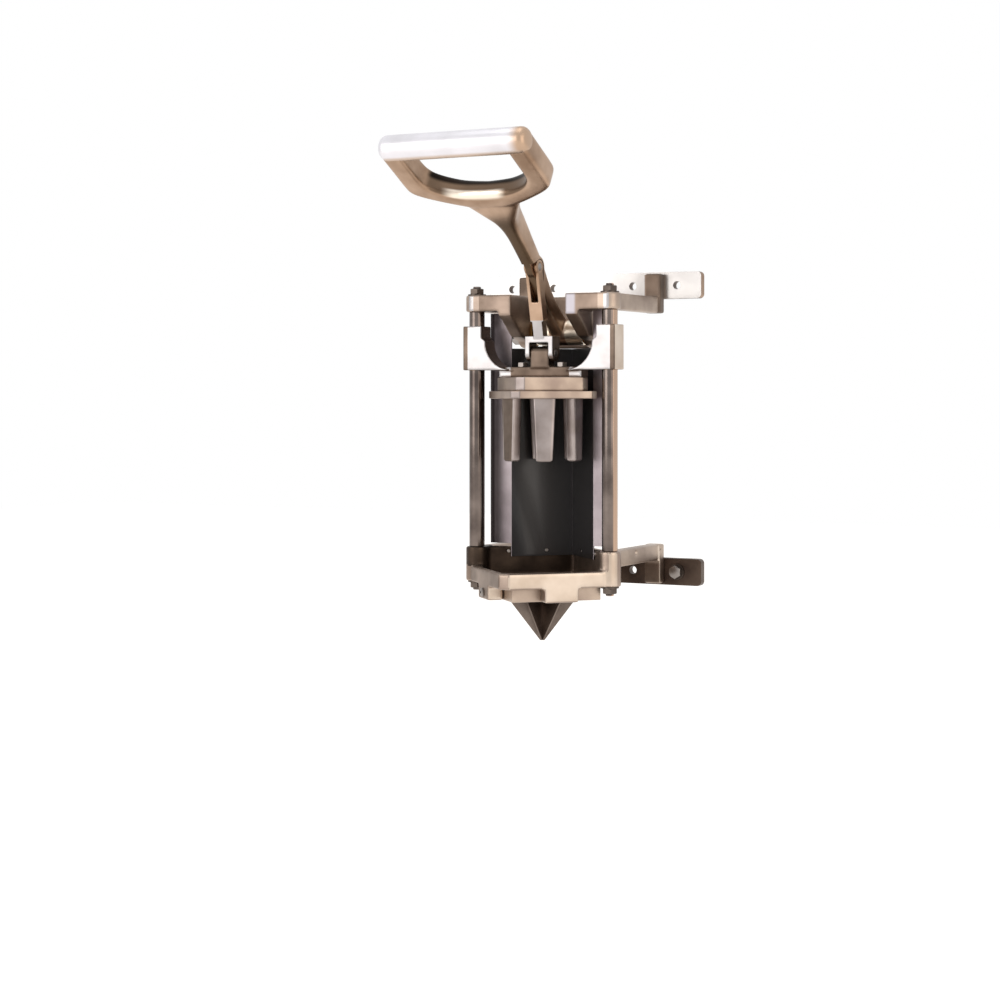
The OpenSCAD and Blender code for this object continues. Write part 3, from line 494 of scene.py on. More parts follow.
# Painted shade in the well and round the left boss.
refinish(base, painted_shade_cast, wall & inward & (np.maximum(aside, abs(ahead)) < WELL_HALF))
refinish(base, painted_shade_cast, wall & (aside + abs(ahead) < WELL_DIAGONAL))
refinish(base, sand_cast, DIAGONAL_LEFT @ normals > 0.9)
refinish(base, painted_shade_cast, (x < LEFT_BOSS) & (y < LEFT_BOSS_BACK) & (z > RIM_TOP))
# Painted shade on the front of the lugs.
refinish(base, dull_skin_and_shade, (y > LUG_FRONT) & (normals[1] < -0.7))
# The front flats of the block and the plate carry a painted highlight.
for made in (block, plate):
    refinish(made, finger_cast, face_table(made)[0][1] < -0.95)

# %% [markdown]
# The crosshead and the link were ground flat on a belt at the front and the back, and
# the light tone of those faces is also a painted reflection of the front light. The skin
# between those faces stays dull, and a dull band at the crosshead's outer edges is
# painted shade. The crosshead's lug is left dark as painted shade under the link's fork,
# and its side faces take a light finish as painted light. The upper half of the link
# has the handle's colour, because the same hands touch it.

# %% Ground faces
LUG_SIDE, EDGE_START, EDGE_END, LINK_CHANGE = 36, 86.5, 88, 118
crosshead = soft_casting("crosshead", dull_skin_and_shade, "pusher", 1.0)
normals, (x, y, z) = face_table(crosshead)
between = (abs(x) > LUG_SIDE) & (abs(x) < EDGE_START)
# Ground faces, their light tone also a painted reflection; the lug and the outer edge band stay
# dull as painted shade, and the sides get painted light.
refinish(crosshead, ground_and_highlight, (abs(normals[1]) > 0.75) & between)
refinish(crosshead, bright_cast, (abs(normals[0]) > 0.75) & (abs(x) > EDGE_END))
link = soft_casting("link", dull_skin_and_shade, "link", 0.55, 5)
normals, (x, y, z) = face_table(link)
refinish(link, ground_and_highlight, (abs(normals[1]) > 0.75) & (z < LINK_CHANGE))
refinish(link, tumbled_cast, z >= LINK_CHANGE)

# %% [markdown]
# ## The handle
#
# The handle is one casting: a hub on the hinge, an arm that bows forwards and up, a
# flat tongue that spreads into a loop, and a round grip across the front. Boxes with
# bevels would never flow like that. Instead, rings are carried along a path. Each ring is
# a rounded rectangle, |x/a|^n + |y/b|^n = 1, and both half sizes change along the path.
# A power of 2 gives an oval and a power of 6 nearly a box.


# %% Rings along a path
def ease(rows, count):
    """Smooth curve through rows of numbers: Catmull-Rom, count samples."""
    rows = np.asarray(rows, float)
    t = np.linspace(0, len(rows) - 1, count)
    i = np.minimum(t.astype(int), len(rows) - 2)
    f = (t - i)[:, None]
    before, here = rows[np.maximum(i - 1, 0)], rows[i]
    there, after = rows[i + 1], rows[np.minimum(i + 2, len(rows) - 1)]
    bend = 2 * before - 5 * here + 4 * there - after
    turn = 3 * here - before - 3 * there + after
    return here + f * (there - before) / 2 + f**2 * bend / 2 + f**3 * turn / 2


def rounded(angle, power):
    """Cosine and sine of angle raised to 2/power, with their signs: a rounded rectangle."""
    c, s = np.cos(angle), np.sin(angle)
    return np.sign(c) * abs(c) ** (2 / power), np.sign(s) * abs(s) ** (2 / power)


def carried(centres, across, up, power, sides=40):
    """Skin of rounded rectangles: centre + across * cos + up * sin, one ring per centre."""
    angle = np.linspace(0, 2 * np.pi, sides, endpoint=False)
    power = np.broadcast_to(power, len(centres))[:, None]
    c, s = rounded(angle[None, :], power)
    rings = centres[:, None] + c[..., None] * across[:, None] + s[..., None] * up[:, None]
    return skin(rings)


print("ease() makes", len(ease([[0], [1], [3]], 9)), "samples from 3 points")

# %% [markdown]
# The arm lies in the middle plane, and its points are given as millimetres forward of
# the hinge and above it, with half the depth and half the width of the arm at each.

# %% The arm
# forward, up, half depth, half width
ARM = [
    (0, 0, 11, 8),
    (38.5, 30.5, 10.5, 8),
    (69, 69, 10.5, 8),
    (92, 92, 12, 8),
    (112, 110, 13.6, 9),
    (128, 120.5, 13.4, 13),
    (145, 129, 12.6, 23),
    (160, 137, 11.6, 34),
]
ARM_POWER = 4.5


def in_lever(forward, up):
    """Row frame points from millimetres forward of the hinge and above it."""
    forward, up = np.asarray(forward)[..., None], np.asarray(up)[..., None]
    return pivot - forward * MM * Y + up * MM * Z


def arm_skin():
    """The arm: rings along the eased path, turned with it."""
    rows = ease(ARM, 60)
    centres = in_lever(rows[:, 0], rows[:, 1])
    along = np.gradient(centres, axis=0)
    along /= np.linalg.norm(along, axis=1)[:, None]
    across = np.cross(along, X) * rows[:, 2:3] * MM
    return carried(centres, across, X * rows[:, 3:4] * MM, ARM_POWER)


arm = arm_skin()
print("arm:", len(arm[1]), "faces")

# %% [markdown]
# The loop lies in a plane of its own, tilted above the horizontal. It is a band between
# an outer and an inner line, so each ring stands halfway between the two lines and is
# half as wide as they are apart. The rear bar is nearly oval for the fingers, the side
# bars are flatter, and the left half mirrors the right.

# %% The loop
ROOT_FORWARD, ROOT_UP, TILT = 132, 121, math.radians(29)
# outer across, outer along, inner across, inner along, half thickness, power
BAND = [
    (0, 20, 0, 51, 11.6, 3),
    (16, 22, 14, 51.6, 11.8, 3.2),
    (34, 30.5, 29, 53, 12, 3.6),
    (56, 42, 43, 58, 12.2, 4.4),
    (74, 53, 54, 65.5, 12.4, 5),
    (81.5, 62, 59.5, 74, 12.5, 6),
    (83, 74, 61, 84, 12.5, 6),
    (83, 92, 61, 98, 12.5, 6),
    (83, 108, 61, 110, 12.5, 6),
    (83, 124, 61, 122, 12.5, 6),
]
along_loop = -math.cos(TILT) * Y + math.sin(TILT) * Z
out_of_loop = math.sin(TILT) * Y + math.cos(TILT) * Z
loop_root = in_lever(ROOT_FORWARD, ROOT_UP)


def in_loop(across, along):
    """Row frame points from millimetres across the loop and along it."""
    across, along = np.asarray(across)[..., None], np.asarray(along)[..., None]
    return loop_root + across * MM * X + along * MM * along_loop


def loop_skin():
    """The band between the two eased lines, right half and mirrored left half."""
    half = ease(BAND, 90)
    left = half[::-1] * np.array([-1, 1, -1, 1, 1, 1])
    rows = np.concatenate([left[:-1], half])
    outer, inner = in_loop(rows[:, 0], rows[:, 1]), in_loop(rows[:, 2], rows[:, 3])
    up = out_of_loop * rows[:, 4:5] * MM
    return carried((outer + inner) / 2, (outer - inner) / 2, up, rows[:, 5])


loop = loop_skin()
print("loop:", len(loop[1]), "faces")

# %% [markdown]
# The grip, the hub and the boss of the link pin are turned shapes. A turned skin is a
# profile of radius and height spun round an axis: centre + height * axis + radius *
# (cos * e1 + sin * e2). A small helper rounds the profile's ends.


# %% Turned shapes
def side_axes(direction):
    """Two directions square to direction and to each other."""
    helper = Z if abs(direction[2]) < 0.9 else X
    first = np.cross(direction, helper)
    first /= np.linalg.norm(first)
    return first, np.cross(direction, first)


def turned(profile, base, direction, cols=48, rule=None):
    """Skin of a profile of (radius, height) spun round direction from base, in metres.

    rule, if given, takes the profile's radii and heights and the angles, and returns
    the radius of every point: that is how flats and threads come about.
    """
    profile = np.asarray(profile, float)
    angle = np.linspace(0, 2 * np.pi, cols, endpoint=False)[None, :]
    r, h = profile[:, :1], profile[:, 1:]
    reach = np.broadcast_to(r, (len(profile), cols))
    if rule:
        reach = rule(reach, h, angle)
    e1, e2 = side_axes(direction)
    ring = reach[..., None] * (np.cos(angle)[..., None] * e1 + np.sin(angle)[..., None] * e2)
    return skin(base + h[..., None] * direction + ring)


def round_end(r, edge, height, sign, steps=6):
    """Profile points of an end: a quarter arc of radius edge that ends on the flat.

    sign is 1 for the far end and -1 for the near one, and height is where the flat lies.
    """
    turn = np.linspace(0, np.pi / 2, steps)
    heights = height - sign * edge * (1 - np.sin(turn))
    rows = np.stack([r - edge + edge * np.cos(turn), heights], 1)
    return rows if sign > 0 else rows[::-1]


def drum(r, length, edge, base, direction, cols=48):
    """Turned cylinder with rounded rims, its middle at base."""
    ends = [round_end(r, edge, s * length / 2, s) for s in BOTH]
    return turned(np.concatenate(ends), base, direction, cols)


GRIP_RADIUS, GRIP_ROUND, GRIP_ALONG = 13.45, 8, 126
span = np.ptp(corners("lever")[:, 0])
grip = drum(GRIP_RADIUS * MM, span, GRIP_ROUND * MM, in_loop(0, GRIP_ALONG), X, 64)
print("grip length:", round(span / MM, 1), "mm")

# %% [markdown]
# The hub fills the space between the two friction washers, which the model gives. The
# legs of the link's fork swing in two pockets, one on each side of a tongue in the arm.
# A pocket is a fan: an eye at the pin and a sector that opens over the quarter turn.

# %% Hub, boss and pockets
HUB_RADIUS, BOSS_RADIUS, ARM_WIDTH, RIM_ROUND = 14, 12, 16, 1.5
span = np.ptp(corners("lever_bushes")[:, 0])
hub = drum(HUB_RADIUS * MM, span, RIM_ROUND * MM, pivot, X)
boss = drum(BOSS_RADIUS * MM, ARM_WIDTH * MM, RIM_ROUND * MM, link_pin, X)

TONGUE_HALF, POCKET_OUT, EYE_ROOM, LEG_REACH = 3.7, 12, 8.6, 39.2
link_foot = middle("fork_pins")
LEAN = math.atan2(link_foot[1] - link_pin[1], link_pin[2] - link_foot[2])


def pocket_cutter():
    """The fan on both sides: an outer arc over the quarter turn and an arc round the eye."""
    quarter = np.linspace(-np.pi / 2, 0, 10)
    turn = np.concatenate([quarter, quarter + np.pi])[:, None] - LEAN
    radius = np.repeat([math.hypot(LEG_REACH, EYE_ROOM), EYE_ROOM], 10)[:, None] * MM
    flat = link_pin - radius * np.cos(turn) * Y + radius * np.sin(turn) * Z
    near, far = TONGUE_HALF * MM * X, POCKET_OUT * MM * X
    return join_skins([skin(np.stack([flat + s * near, flat + s * far])) for s in BOTH])


print("link leans by", round(math.degrees(LEAN), 1), "degrees")

# %% [markdown]
# All the shells now lie inside one another. A union of four curved shells is slow and
# fragile, and it would leave hard seams. Remesh reads them as one solid, and Smooth lays
# a fillet into each seam. The pockets are machined, so they are cut afterwards, and their
# edges stay crisp.

# %% Melt the handle into one casting
handle = make_mesh("handle_casting", *join_skins([arm, loop, hub, boss]))
cutter = make_mesh("pocket_cutter", *pocket_cutter())
melt(handle, 1.0, 8)
cut = handle.modifiers.new("pockets", "BOOLEAN")
cut.operation, cut.solver, cut.object = "DIFFERENCE", "EXACT", cutter
bake(handle)
bpy.data.objects.remove(cutter)
print("handle:", len(handle.data.polygons), "faces")

# %% [markdown]
# The handle carries painted light and painted shade. The wall inside the loop and the
# front of the arm are darkened as painted shade, darkest near the top of the wall. The
# lip where the fingers hook in carries a painted highlight, and so does the hub beside
# the arm. The patches are laid out in the loop's own directions, counted from its root.


# %% Patches of the handle
def from_root(direction, start, stop):
    """Fade between two places along a direction, counted from the loop's root."""
    root = loop_root @ direction / MM
    return ("Object", direction, root + start, root + stop)


in_wall = [
    ("Normal", along_loop, 0.3, 0.6),
    from_root(along_loop, 36, 40),
    from_root(along_loop, 86, 78),
    from_root(X, -68, -58),
    from_root(-X, -68, -58),
]
upper_wall = in_wall + [from_root(out_of_loop, 0, 5)]
lip = [
    ("Normal", along_loop, 0.1, 0.4),
    from_root(out_of_loop, -3, -6),
    from_root(along_loop, 36, 40),
    from_root(X, -48, -34),
    from_root(-X, -26, -12),
]
front_of_arm = [
    ("Normal", Y, -0.15, -0.5),
    from_root(along_loop, 22, -6),
    from_root(Z, -110, -95),
]
near_hub = [
    ("Object", Y, pivot[1] / MM - 30, pivot[1] / MM - 22),
    ("Object", Z, pivot[2] / MM + 30, pivot[2] / MM + 22),
]
hub_sides = [near_hub + [("Object", s * X, 8.5, 10.5)] for s in (1, -1)]
print("patches are counted from", loop_root.round(4))

# %% The handle's finishes
# Painted shade inside the loop and on the front of the arm, painted highlights on the lip and
# beside the hub.
patches = [("6d5a4a", in_wall), ("1f1915", upper_wall), ("f0e4d4", lip)]
patches += [("5b4a3a", front_of_arm)] + [("ded2c0", side) for side in hub_sides]
shaded_handle_finish = bare_metal("tumbled_cast_painted_light", *TUMBLED, patches=patches)
# The grip's right end and its underside carry painted shade.
polished_grip = bare_metal(
    "polished_grip_painted_shade", "d8d6da", "e6e4e9", (0.32, 0.42), 1.2, 0.01,
    patches=[("b89d86", [from_root(X, 64, 78)]), ("c4ae9c", [("Normal", Z, -0.75, -0.97)])],
)
finish_part(handle, shaded_handle_finish, "lever", ("lever",))
grip_part = make_mesh("handle_grip", *grip)
finish_part(grip_part, polished_grip, "lever", ("lever",))

# %% [markdown]
# ## Threads, nuts and screws
#
# A thread is a helix: the radius rises and falls once per pitch and its phase follows
# the angle, so radius = r - depth * tri(height / pitch - angle / 2 pi). A hexagon is a
# radius too: from the middle of a flat it grows as 1 / cos of the angle. The smaller of
# the cone's radius and the hexagon's gives the curved chamfer line of a real nut.


# %% Thread and hexagon as radii
def helix(pitch, depth, start, stop):
    """Radius rule of a thread cut between two heights."""

    def rule(r, h, angle):
        turn = h / pitch - angle / (2 * np.pi)
        tri = 2 * abs(turn - np.floor(turn + 0.5))
        return r - depth * tri * ((h > start) & (h < stop))

    return rule


def hexagon(across, count):
    """Radius rule of a hexagon on the last count rows, never wider than the row itself."""

    def rule(r, h, angle):
        from_flat = (angle + np.pi / 6) % (np.pi / 3) - np.pi / 6
        flats = np.minimum(across / 2 / np.cos(from_flat), r)
        return np.where(np.arange(len(r))[:, None] < len(r) - count, r, flats)

    return rule


def hex_block(across, start, stop):
    """Profile of a nut or bolt head between two heights, with a 30 degree cone at each end."""
    corner, rim = across / math.sqrt(3), across / 2 * 0.97
    fall = (corner - rim) * math.tan(math.radians(30))
    cone = np.linspace(0, 1, 5)
    near = np.stack([rim + cone * (corner - rim), start + cone * fall], 1)
    far = np.stack([corner - cone * (corner - rim), stop - fall + cone * fall], 1)
    return np.concatenate([near, far])


def nut(across, height, base, direction):
    """Hexagon nut that stands on base."""
    profile = hex_block(across * MM, 0, height * MM)
    return turned(profile, base, direction, 72, hexagon(across * MM, len(profile)))


print("hexagon nut:", len(nut(14.3, 6, axis, Z)[1]), "faces")

# %% [markdown]
# A screw is one profile: the tip, the shank, the outside of the head, and the socket for
# the key. The heads are domed, straight or countersunk. The rows of a threaded shank lie
# an eighth of a pitch apart, so that the helix can show.


# %% Screws and studs
THREAD_END = -2


def thread_rows(radius, start, stop, pitch):
    """Profile rows of a shank, eight to each pitch."""
    heights = np.arange(start, stop, pitch / 8)
    return np.stack([np.full_like(heights, radius), heights], 1)


def stud(base, direction, diameter, length, pitch=1.5):
    """Threaded end of a rod or shaft that stands on base."""
    r, length, pitch = diameter / 2 * MM, length * MM, pitch * MM
    tip = [[r - 0.5 * pitch, length]]
    profile = np.concatenate([thread_rows(r, 0, length - 0.6 * pitch, pitch), tip])
    return turned(profile, base, direction, 36, helix(pitch, 0.45 * pitch, 0, length))


def domed(r, head, height, socket):
    """Rows of a domed head, part of a sphere as wide as two heads."""
    reach = np.linspace(head / 2, socket, 7)
    rise = height - head + np.sqrt(head**2 - reach**2)
    return [[r, 0], [head / 2, 0], *np.stack([reach, rise], 1)]


def straight(r, head, height, socket):
    """Rows of a straight round head with a rounded rim."""
    return [[r, 0], [head / 2, 0], *round_end(head / 2, 0.4 * MM, height, 1, 4)]


def sunk(r, head, height, socket):
    """Rows of a countersunk head that ends flush with base."""
    return [[r, -height], [head / 2, -0.2 * MM], [head / 2, 0], [1.25 * socket, 0]]


def key_screw(shape, base, direction, diameter, length, head, height, key):
    """Screw with a hexagon socket, its head on base and its shank behind it."""
    r, length, head, height, key = (k * MM for k in (diameter / 2, length, head, height, key))
    socket = key / math.sqrt(3)
    rows = shape(r, head, height, socket)
    top = rows[-1][1]
    floor = top - 0.6 * height
    shank = [[0.8 * r, -length], [r, 0.2 * r - length]]
    inside = [[socket, top], [socket, floor], [0.2 * socket, floor]]
    profile = np.array([*shank, *rows, *inside])
    return turned(profile, base, direction, 36, hexagon(key, len(inside)))


def hex_screw(base, direction, diameter, length, across, height, point, pitch):
    """Screw with a hexagon head on base and a threaded shank behind it."""
    r = diameter / 2 * MM
    tip = [[0.1 * r, -length * MM]]
    shank = thread_rows(r, (point - length) * MM, THREAD_END * MM, pitch * MM)
    head = hex_block(across * MM, 0, height * MM)
    profile = np.concatenate([tip, shank, [[r, 0]], head])
    thread = helix(pitch * MM, 0.35 * pitch * MM, (point - length - pitch) * MM, THREAD_END * MM)
    flats = hexagon(across * MM, len(head))
    return turned(profile, base, direction, 48, lambda r, h, a: flats(thread(r, h, a), h, a))


def fastener(name, skins, body, *nodes, finish=None, slot="screw"):
    """Several skins as one finished object, zinc plated unless a finish is given."""
    made = make_mesh(name, *join_skins(skins))
    return finish_part(made, finish or zinc_plate, body, nodes)


print("stud:", len(stud(axis, Z, 9.5, 20)[1]), "faces")

# %% [markdown]
# ## Guide rods
#
# Each rod is ground bar, turned down and threaded at both ends. Its shoulders bear on
# the castings, and a nut with a washer holds each end.

# %% Guide rods and their nuts
ROD, STUD, NUT, NUT_H, WASHER_T, BEAM_H, BASE_H = 17, 9.5, 14.3, 6, 1.6, 18, 38
rod_low, rod_high = corners("right_guide_rod")
washer_low, washer_high = corners("rod_washers")
beam_bottom = washer_high[2] - (WASHER_T + BEAM_H) * MM
base_top = washer_low[2] + (WASHER_T + BASE_H) * MM
rod_x = middle("right_guide_rod")[0]
for side, x in (("left", -rod_x), ("right", rod_x)):
    foot = axis + x * X
    shank = drum(ROD / 2 * MM, beam_bottom - base_top, 0.6 * MM,
                 foot + (beam_bottom + base_top) / 2 * Z, Z, 64)
    upper = stud(foot + beam_bottom * Z, Z, STUD, (rod_high[2] - beam_bottom) / MM)
    lower = stud(foot + base_top * Z, -Z, STUD, (base_top - rod_low[2]) / MM)
    fastener(side + "_rod", [shank, upper, lower], "frame", side + "_guide_rod",
             finish=ground_chrome, slot="rod")
places = [axis + x * X for x in (-rod_x, rod_x)]
nuts = [nut(NUT, NUT_H, p + washer_high[2] * Z, Z) for p in places]
nuts += [nut(NUT, NUT_H, p + washer_low[2] * Z, -Z) for p in places]
fastener("rod_end_nuts", nuts, "frame", "rod_nuts", finish=black_zinc)

# %% [markdown]
# ## Hinge of the handle
#
# A 16 mm shaft crosses both cheeks. Its ends are turned down to 14 mm and threaded, and
# a nut over a washer holds it on each side.

# %% Hinge shaft and nuts
SHAFT, SHAFT_END, SHAFT_PITCH, SHAFT_NUT, SHAFT_NUT_H, SHAFT_WASHER_T = 16, 14, 2, 22, 9, 2
seat = corners("shaft_washers")[1][0]
cheek_out = seat - SHAFT_WASHER_T * MM
reach = (corners("pivot_shaft")[1][0] - cheek_out) / MM
shank = drum(SHAFT / 2 * MM, 2 * cheek_out, 0.5 * MM, pivot, X)
ends = [stud(pivot + s * cheek_out * X, s * X, SHAFT_END, reach, SHAFT_PITCH) for s in BOTH]
fastener("hinge_shaft", [shank] + ends, "frame", "pivot_shaft", finish=ground_chrome, slot="rod")
nuts = [nut(SHAFT_NUT, SHAFT_NUT_H, pivot + s * seat * X, s * X) for s in BOTH]
fastener("hinge_nuts", nuts, "frame", "shaft_nuts")

# %% [markdown]
# ## Screws of the frame
#
# Countersunk screws come through each wall rail into the lugs of the castings, domed
# screws hold the guard and the blade frame, and two lag screws go into the wall. A lag
# screw has a hexagon head, a coarse thread and a gimlet point.

# %% Screws of the frame
# diameter, length, head, height of the head, key
RAIL_SCREW, GUARD_SCREW = (6, 20.5, 11.2, 3, 4), (4, 7.1, 8, 2.4, 2.5)
TAB_SCREW, FRAME_D, FRAME_HEAD = (4, 9, 8, 2.4, 2.5), 5, (9.5, 3, 3)
# diameter, length, across flats, height of the head, length of the point, pitch
LAG_SCREW = (7.9, 49.1, 13, 5.5, 8, 2.6)
LUG_X, LUG_STEP, LAG_X = 79.5, 7, 104
GUARD_OUT, GUARD_TURNS, GUARD_Z, GUARD_ASIDE = 59.13, (45, 135), -135.3, 22
TAB_X, TAB_Y, TAB_Z = 57.6, 24.9, 138
FRAME_PLACES, FRAME_Z, FRAME_IN = ((225, 67.18), (45, 59.11)), -174.8, 47
rail_z = middle("upper_wall_rail")[2] / MM
seat = corners("lag_washers")[0][1] / MM


def around(radius, degrees, height, aside=0.0):
    """Point and outward direction at an angle round the cutting axis, in millimetres."""
    turn = math.radians(degrees)
    out = math.cos(turn) * X + math.sin(turn) * Y
    side = math.cos(turn) * Y - math.sin(turn) * X
    return axis + radius * MM * out + aside * MM * side + height * MM * Z, out


heights = [s * rail_z + step * LUG_STEP for s in BOTH for step in BOTH]
places = [at(s * LUG_X, 0, height) for s in BOTH for height in heights]
rail_screws = [key_screw(sunk, place, Y, *RAIL_SCREW) for place in places]
fastener("rail_lug_screws", rail_screws, "frame", "rail_screws")
lags = [hex_screw(at(s * LAG_X, seat, -rail_z), -Y, *LAG_SCREW) for s in BOTH]
fastener("wall_lag_screws", lags, "frame", "lag_screws")

guard_screws = [
    key_screw(domed, *around(GUARD_OUT, turn, GUARD_Z, s * GUARD_ASIDE), *GUARD_SCREW)
    for turn in GUARD_TURNS
    for s in BOTH
]
places = [axis + at(s * TAB_X, TAB_Y, TAB_Z) for s in BOTH]
guard_screws += [key_screw(domed, place, Y, *TAB_SCREW) for place in places]
fastener("guard_pan_screws", guard_screws, "frame", "guard_screws")
frame_screws = [
    key_screw(domed, *around(radius, turn, FRAME_Z), FRAME_D, radius - FRAME_IN, *FRAME_HEAD)
    for turn, radius in FRAME_PLACES
]
fastener("blade_frame_pan_screws", frame_screws, "frame", "blade_frame_screws")

# %% [markdown]
# ## Screws of the pusher
#
# Two hexagon bolts hang the pusher from the floor of the crosshead. Under it the plate
# is held by four cap screws, and each finger by one.

# %% Screws of the pusher
BOLT_X, BOLT_Z, BOLT = 24, 68, (6, 23.2, 10, 5, 1, 1)
PLATE_SCREW, PLATE_RADIUS, PLATE_SEAT = (5, 14.2, 9, 3, 4), 37, 36.6
FINGER_SCREW, FINGER_RADIUS, FINGER_SEAT = (5, 18, 9, 3, 4), 39, 38.6
PLATE_TURNS, FINGER_TURNS = (30, 150, 210, 330), range(0, 360, 60)

bolts = [hex_screw(axis + at(s * BOLT_X, 0, BOLT_Z), Z, *BOLT) for s in BOTH]
fastener("pusher_hex_bolts", bolts, "pusher", "pusher_bolts")
places = [around(PLATE_RADIUS, turn, PLATE_SEAT)[0] for turn in PLATE_TURNS]
plate_screws = [key_screw(straight, place, -Z, *PLATE_SCREW) for place in places]
fastener("plate_cap_screws", plate_screws, "pusher", "plate_screws")
places = [around(FINGER_RADIUS, turn, FINGER_SEAT)[0] for turn in FINGER_TURNS]
finger_screws = [key_screw(straight, place, Z, *FINGER_SCREW) for place in places]
fastener("finger_cap_screws", finger_screws, "pusher", "finger_screws")

# %% [markdown]
# ## Pins of the link
#
# The pins are ground flush with the metal round them, with a small chamfer.

# %% Pins of the link
PIN_RADIUS, CHAMFER, TOP_PIN, FORK_PIN = 4, 0.4, 16, 5.4
top_pin = drum(PIN_RADIUS * MM, TOP_PIN * MM, CHAMFER * MM, link_pin, X)
fastener("link_top_pin", [top_pin], "lever", "link_pin")
aside = (corners("fork_pins")[1][0] - FORK_PIN / 2 * MM) * X
places = [link_foot + s * aside for s in BOTH]
pins = [drum(PIN_RADIUS * MM, FORK_PIN * MM, CHAMFER * MM, place, X) for place in places]
fastener("link_fork_pins", pins, "link", "fork_pins")

# %% [markdown]
# ## Fingers of the pusher
#
# Six cast fingers push the potato through, one in each gap between the blades. A finger
# is thick and wide at the plate and narrows towards a rounded tip. Its section is a
# rounded rectangle, carried straight down while both half sizes shrink.


# %% Fingers of the pusher
FINGER_TOP, STRAIGHT, TIP, HALF_WIDTH, TAPER, HALF_DEPTH = 33.4, 64.5, 3, 12, 3, 5.5
LEFT_FINGERS = -12


def finger(degrees):
    """One finger. Past the straight part it draws in by TIP * (1 - sqrt(1 - t^2)).

    t goes from 0 to 1 over the length of the tip.
    """
    top, out = around(FINGER_RADIUS, degrees, FINGER_TOP)
    side = np.cross(Z, out)
    end = STRAIGHT + TIP * np.sin(np.linspace(0.15, np.pi / 2, 8))
    drop = np.concatenate([np.linspace(0, STRAIGHT, 12), end])
    wide = HALF_WIDTH - TAPER * np.minimum(drop / STRAIGHT, 1)
    past = ((drop - STRAIGHT) / TIP).clip(0, 1)
    pull = TIP * (1 - np.sqrt(1 - past**2))
    centres = top - drop[:, None] * MM * Z
    across = (wide - pull)[:, None] * MM * side
    deep = (HALF_DEPTH - 0.8 * pull)[:, None] * MM * out
    return carried(centres, across, deep, 7, 48)


fingers = fastener("cast_fingers", [finger(turn) for turn in FINGER_TURNS], "pusher",
                   "pusher_fingers", finish=finger_cast, slot="bright_cast")
normals, (x, y, z) = face_table(fingers)
# Faces of the left fingers that look left are darkened as painted shade.
refinish(fingers, dull_skin_and_shade, (normals[0] < -0.3) & (x < LEFT_FINGERS))

# %% [markdown]
# ## Blades
#
# Three plates cross in the middle and make six gaps. The upper edge is ground from both
# sides to a wedge. The lower edges slope inwards and meet in a point, so that the
# wedges come free one after another. A plate is a row of closed sections from one end
# to the other, and each section is the plate's thickness with the ground edge on top.


# %% Blades
BLADE_TOP, BLADE_REACH, BLADE_TIP, BLADE_FOOT, BLADE_END = -167.3, 45.6, 2.5, 61.5, 5
BLADE_HELD = (46.1, 46.2, 47.2)
# Corners on one side: half thickness, way down from the top, share of the foot's height
CORNERS = [(0.05, 0, 0), (0.8, 2.6, 0), (0.8, -0.6, 1), (0.45, 0, 1)]
SECTION = np.array(CORNERS + [(-half, down, share) for half, down, share in CORNERS[::-1]])


def blade(degrees):
    """One plate: a section at each place from one end to the other."""
    place, out = around(0, degrees, BLADE_TOP)
    side = np.cross(Z, out)
    right = np.array([*np.linspace(BLADE_TIP, BLADE_REACH, 12), *BLADE_HELD])
    across = np.concatenate([-right[::-1], right])
    inwards = (abs(across) - BLADE_TIP) / (BLADE_REACH - BLADE_TIP)
    foot = np.maximum(BLADE_FOOT + (BLADE_END - BLADE_FOOT) * inwards, BLADE_END)
    half, down, share = SECTION.T
    drop = down + share * foot[:, None]
    rings = (
        place
        + across[:, None, None] * MM * out
        + half[None, :, None] * MM * side
        - drop[..., None] * MM * Z
    )
    return skin(rings)


blades = [blade(degrees) for degrees in (30, 90, 150)]
fastener("ground_blades", blades, "frame", "wedge_blades", finish=ground_blade, slot="blade")

# %% [markdown]
# ## Plates, washers and bushes
#
# A flat part is never razor sharp: its edges are broken with a file, and the small facet
# catches the light. So a copy of the CAD mesh is welded, its flat triangles are dissolved
# into whole faces, and the Bevel modifier breaks every edge sharper than 40 degrees.


# %% Broken edges
def broken_edges(node, name, finish, body, slot, width_mm):
    """A CAD node with its edges broken, as a finished part."""
    made = mesh_copy(node, name)
    flat = made.modifiers.new("flat", "DECIMATE")
    flat.decimate_type, flat.angle_limit = "DISSOLVE", math.radians(1)
    edge = made.modifiers.new("edge", "BEVEL")
    edge.limit_method, edge.angle_limit = "ANGLE", math.radians(40)
    edge.width, edge.segments = width_mm * MM, 2
    bake(made)
    made.data.shade_smooth()
    made.data.set_sharp_from_angle(angle=CRISP)
    even = made.modifiers.new("even", "WEIGHTED_NORMAL")
    even.weight, even.keep_sharp = 100, True
    bake(made)
    return finish_part(made, finish, body, (node,))


RAIL_END = 130
upper_rail = broken_edges(
    "upper_wall_rail", "upper_rail_strip", brushed_strip, "frame", "rail", 0.6
)
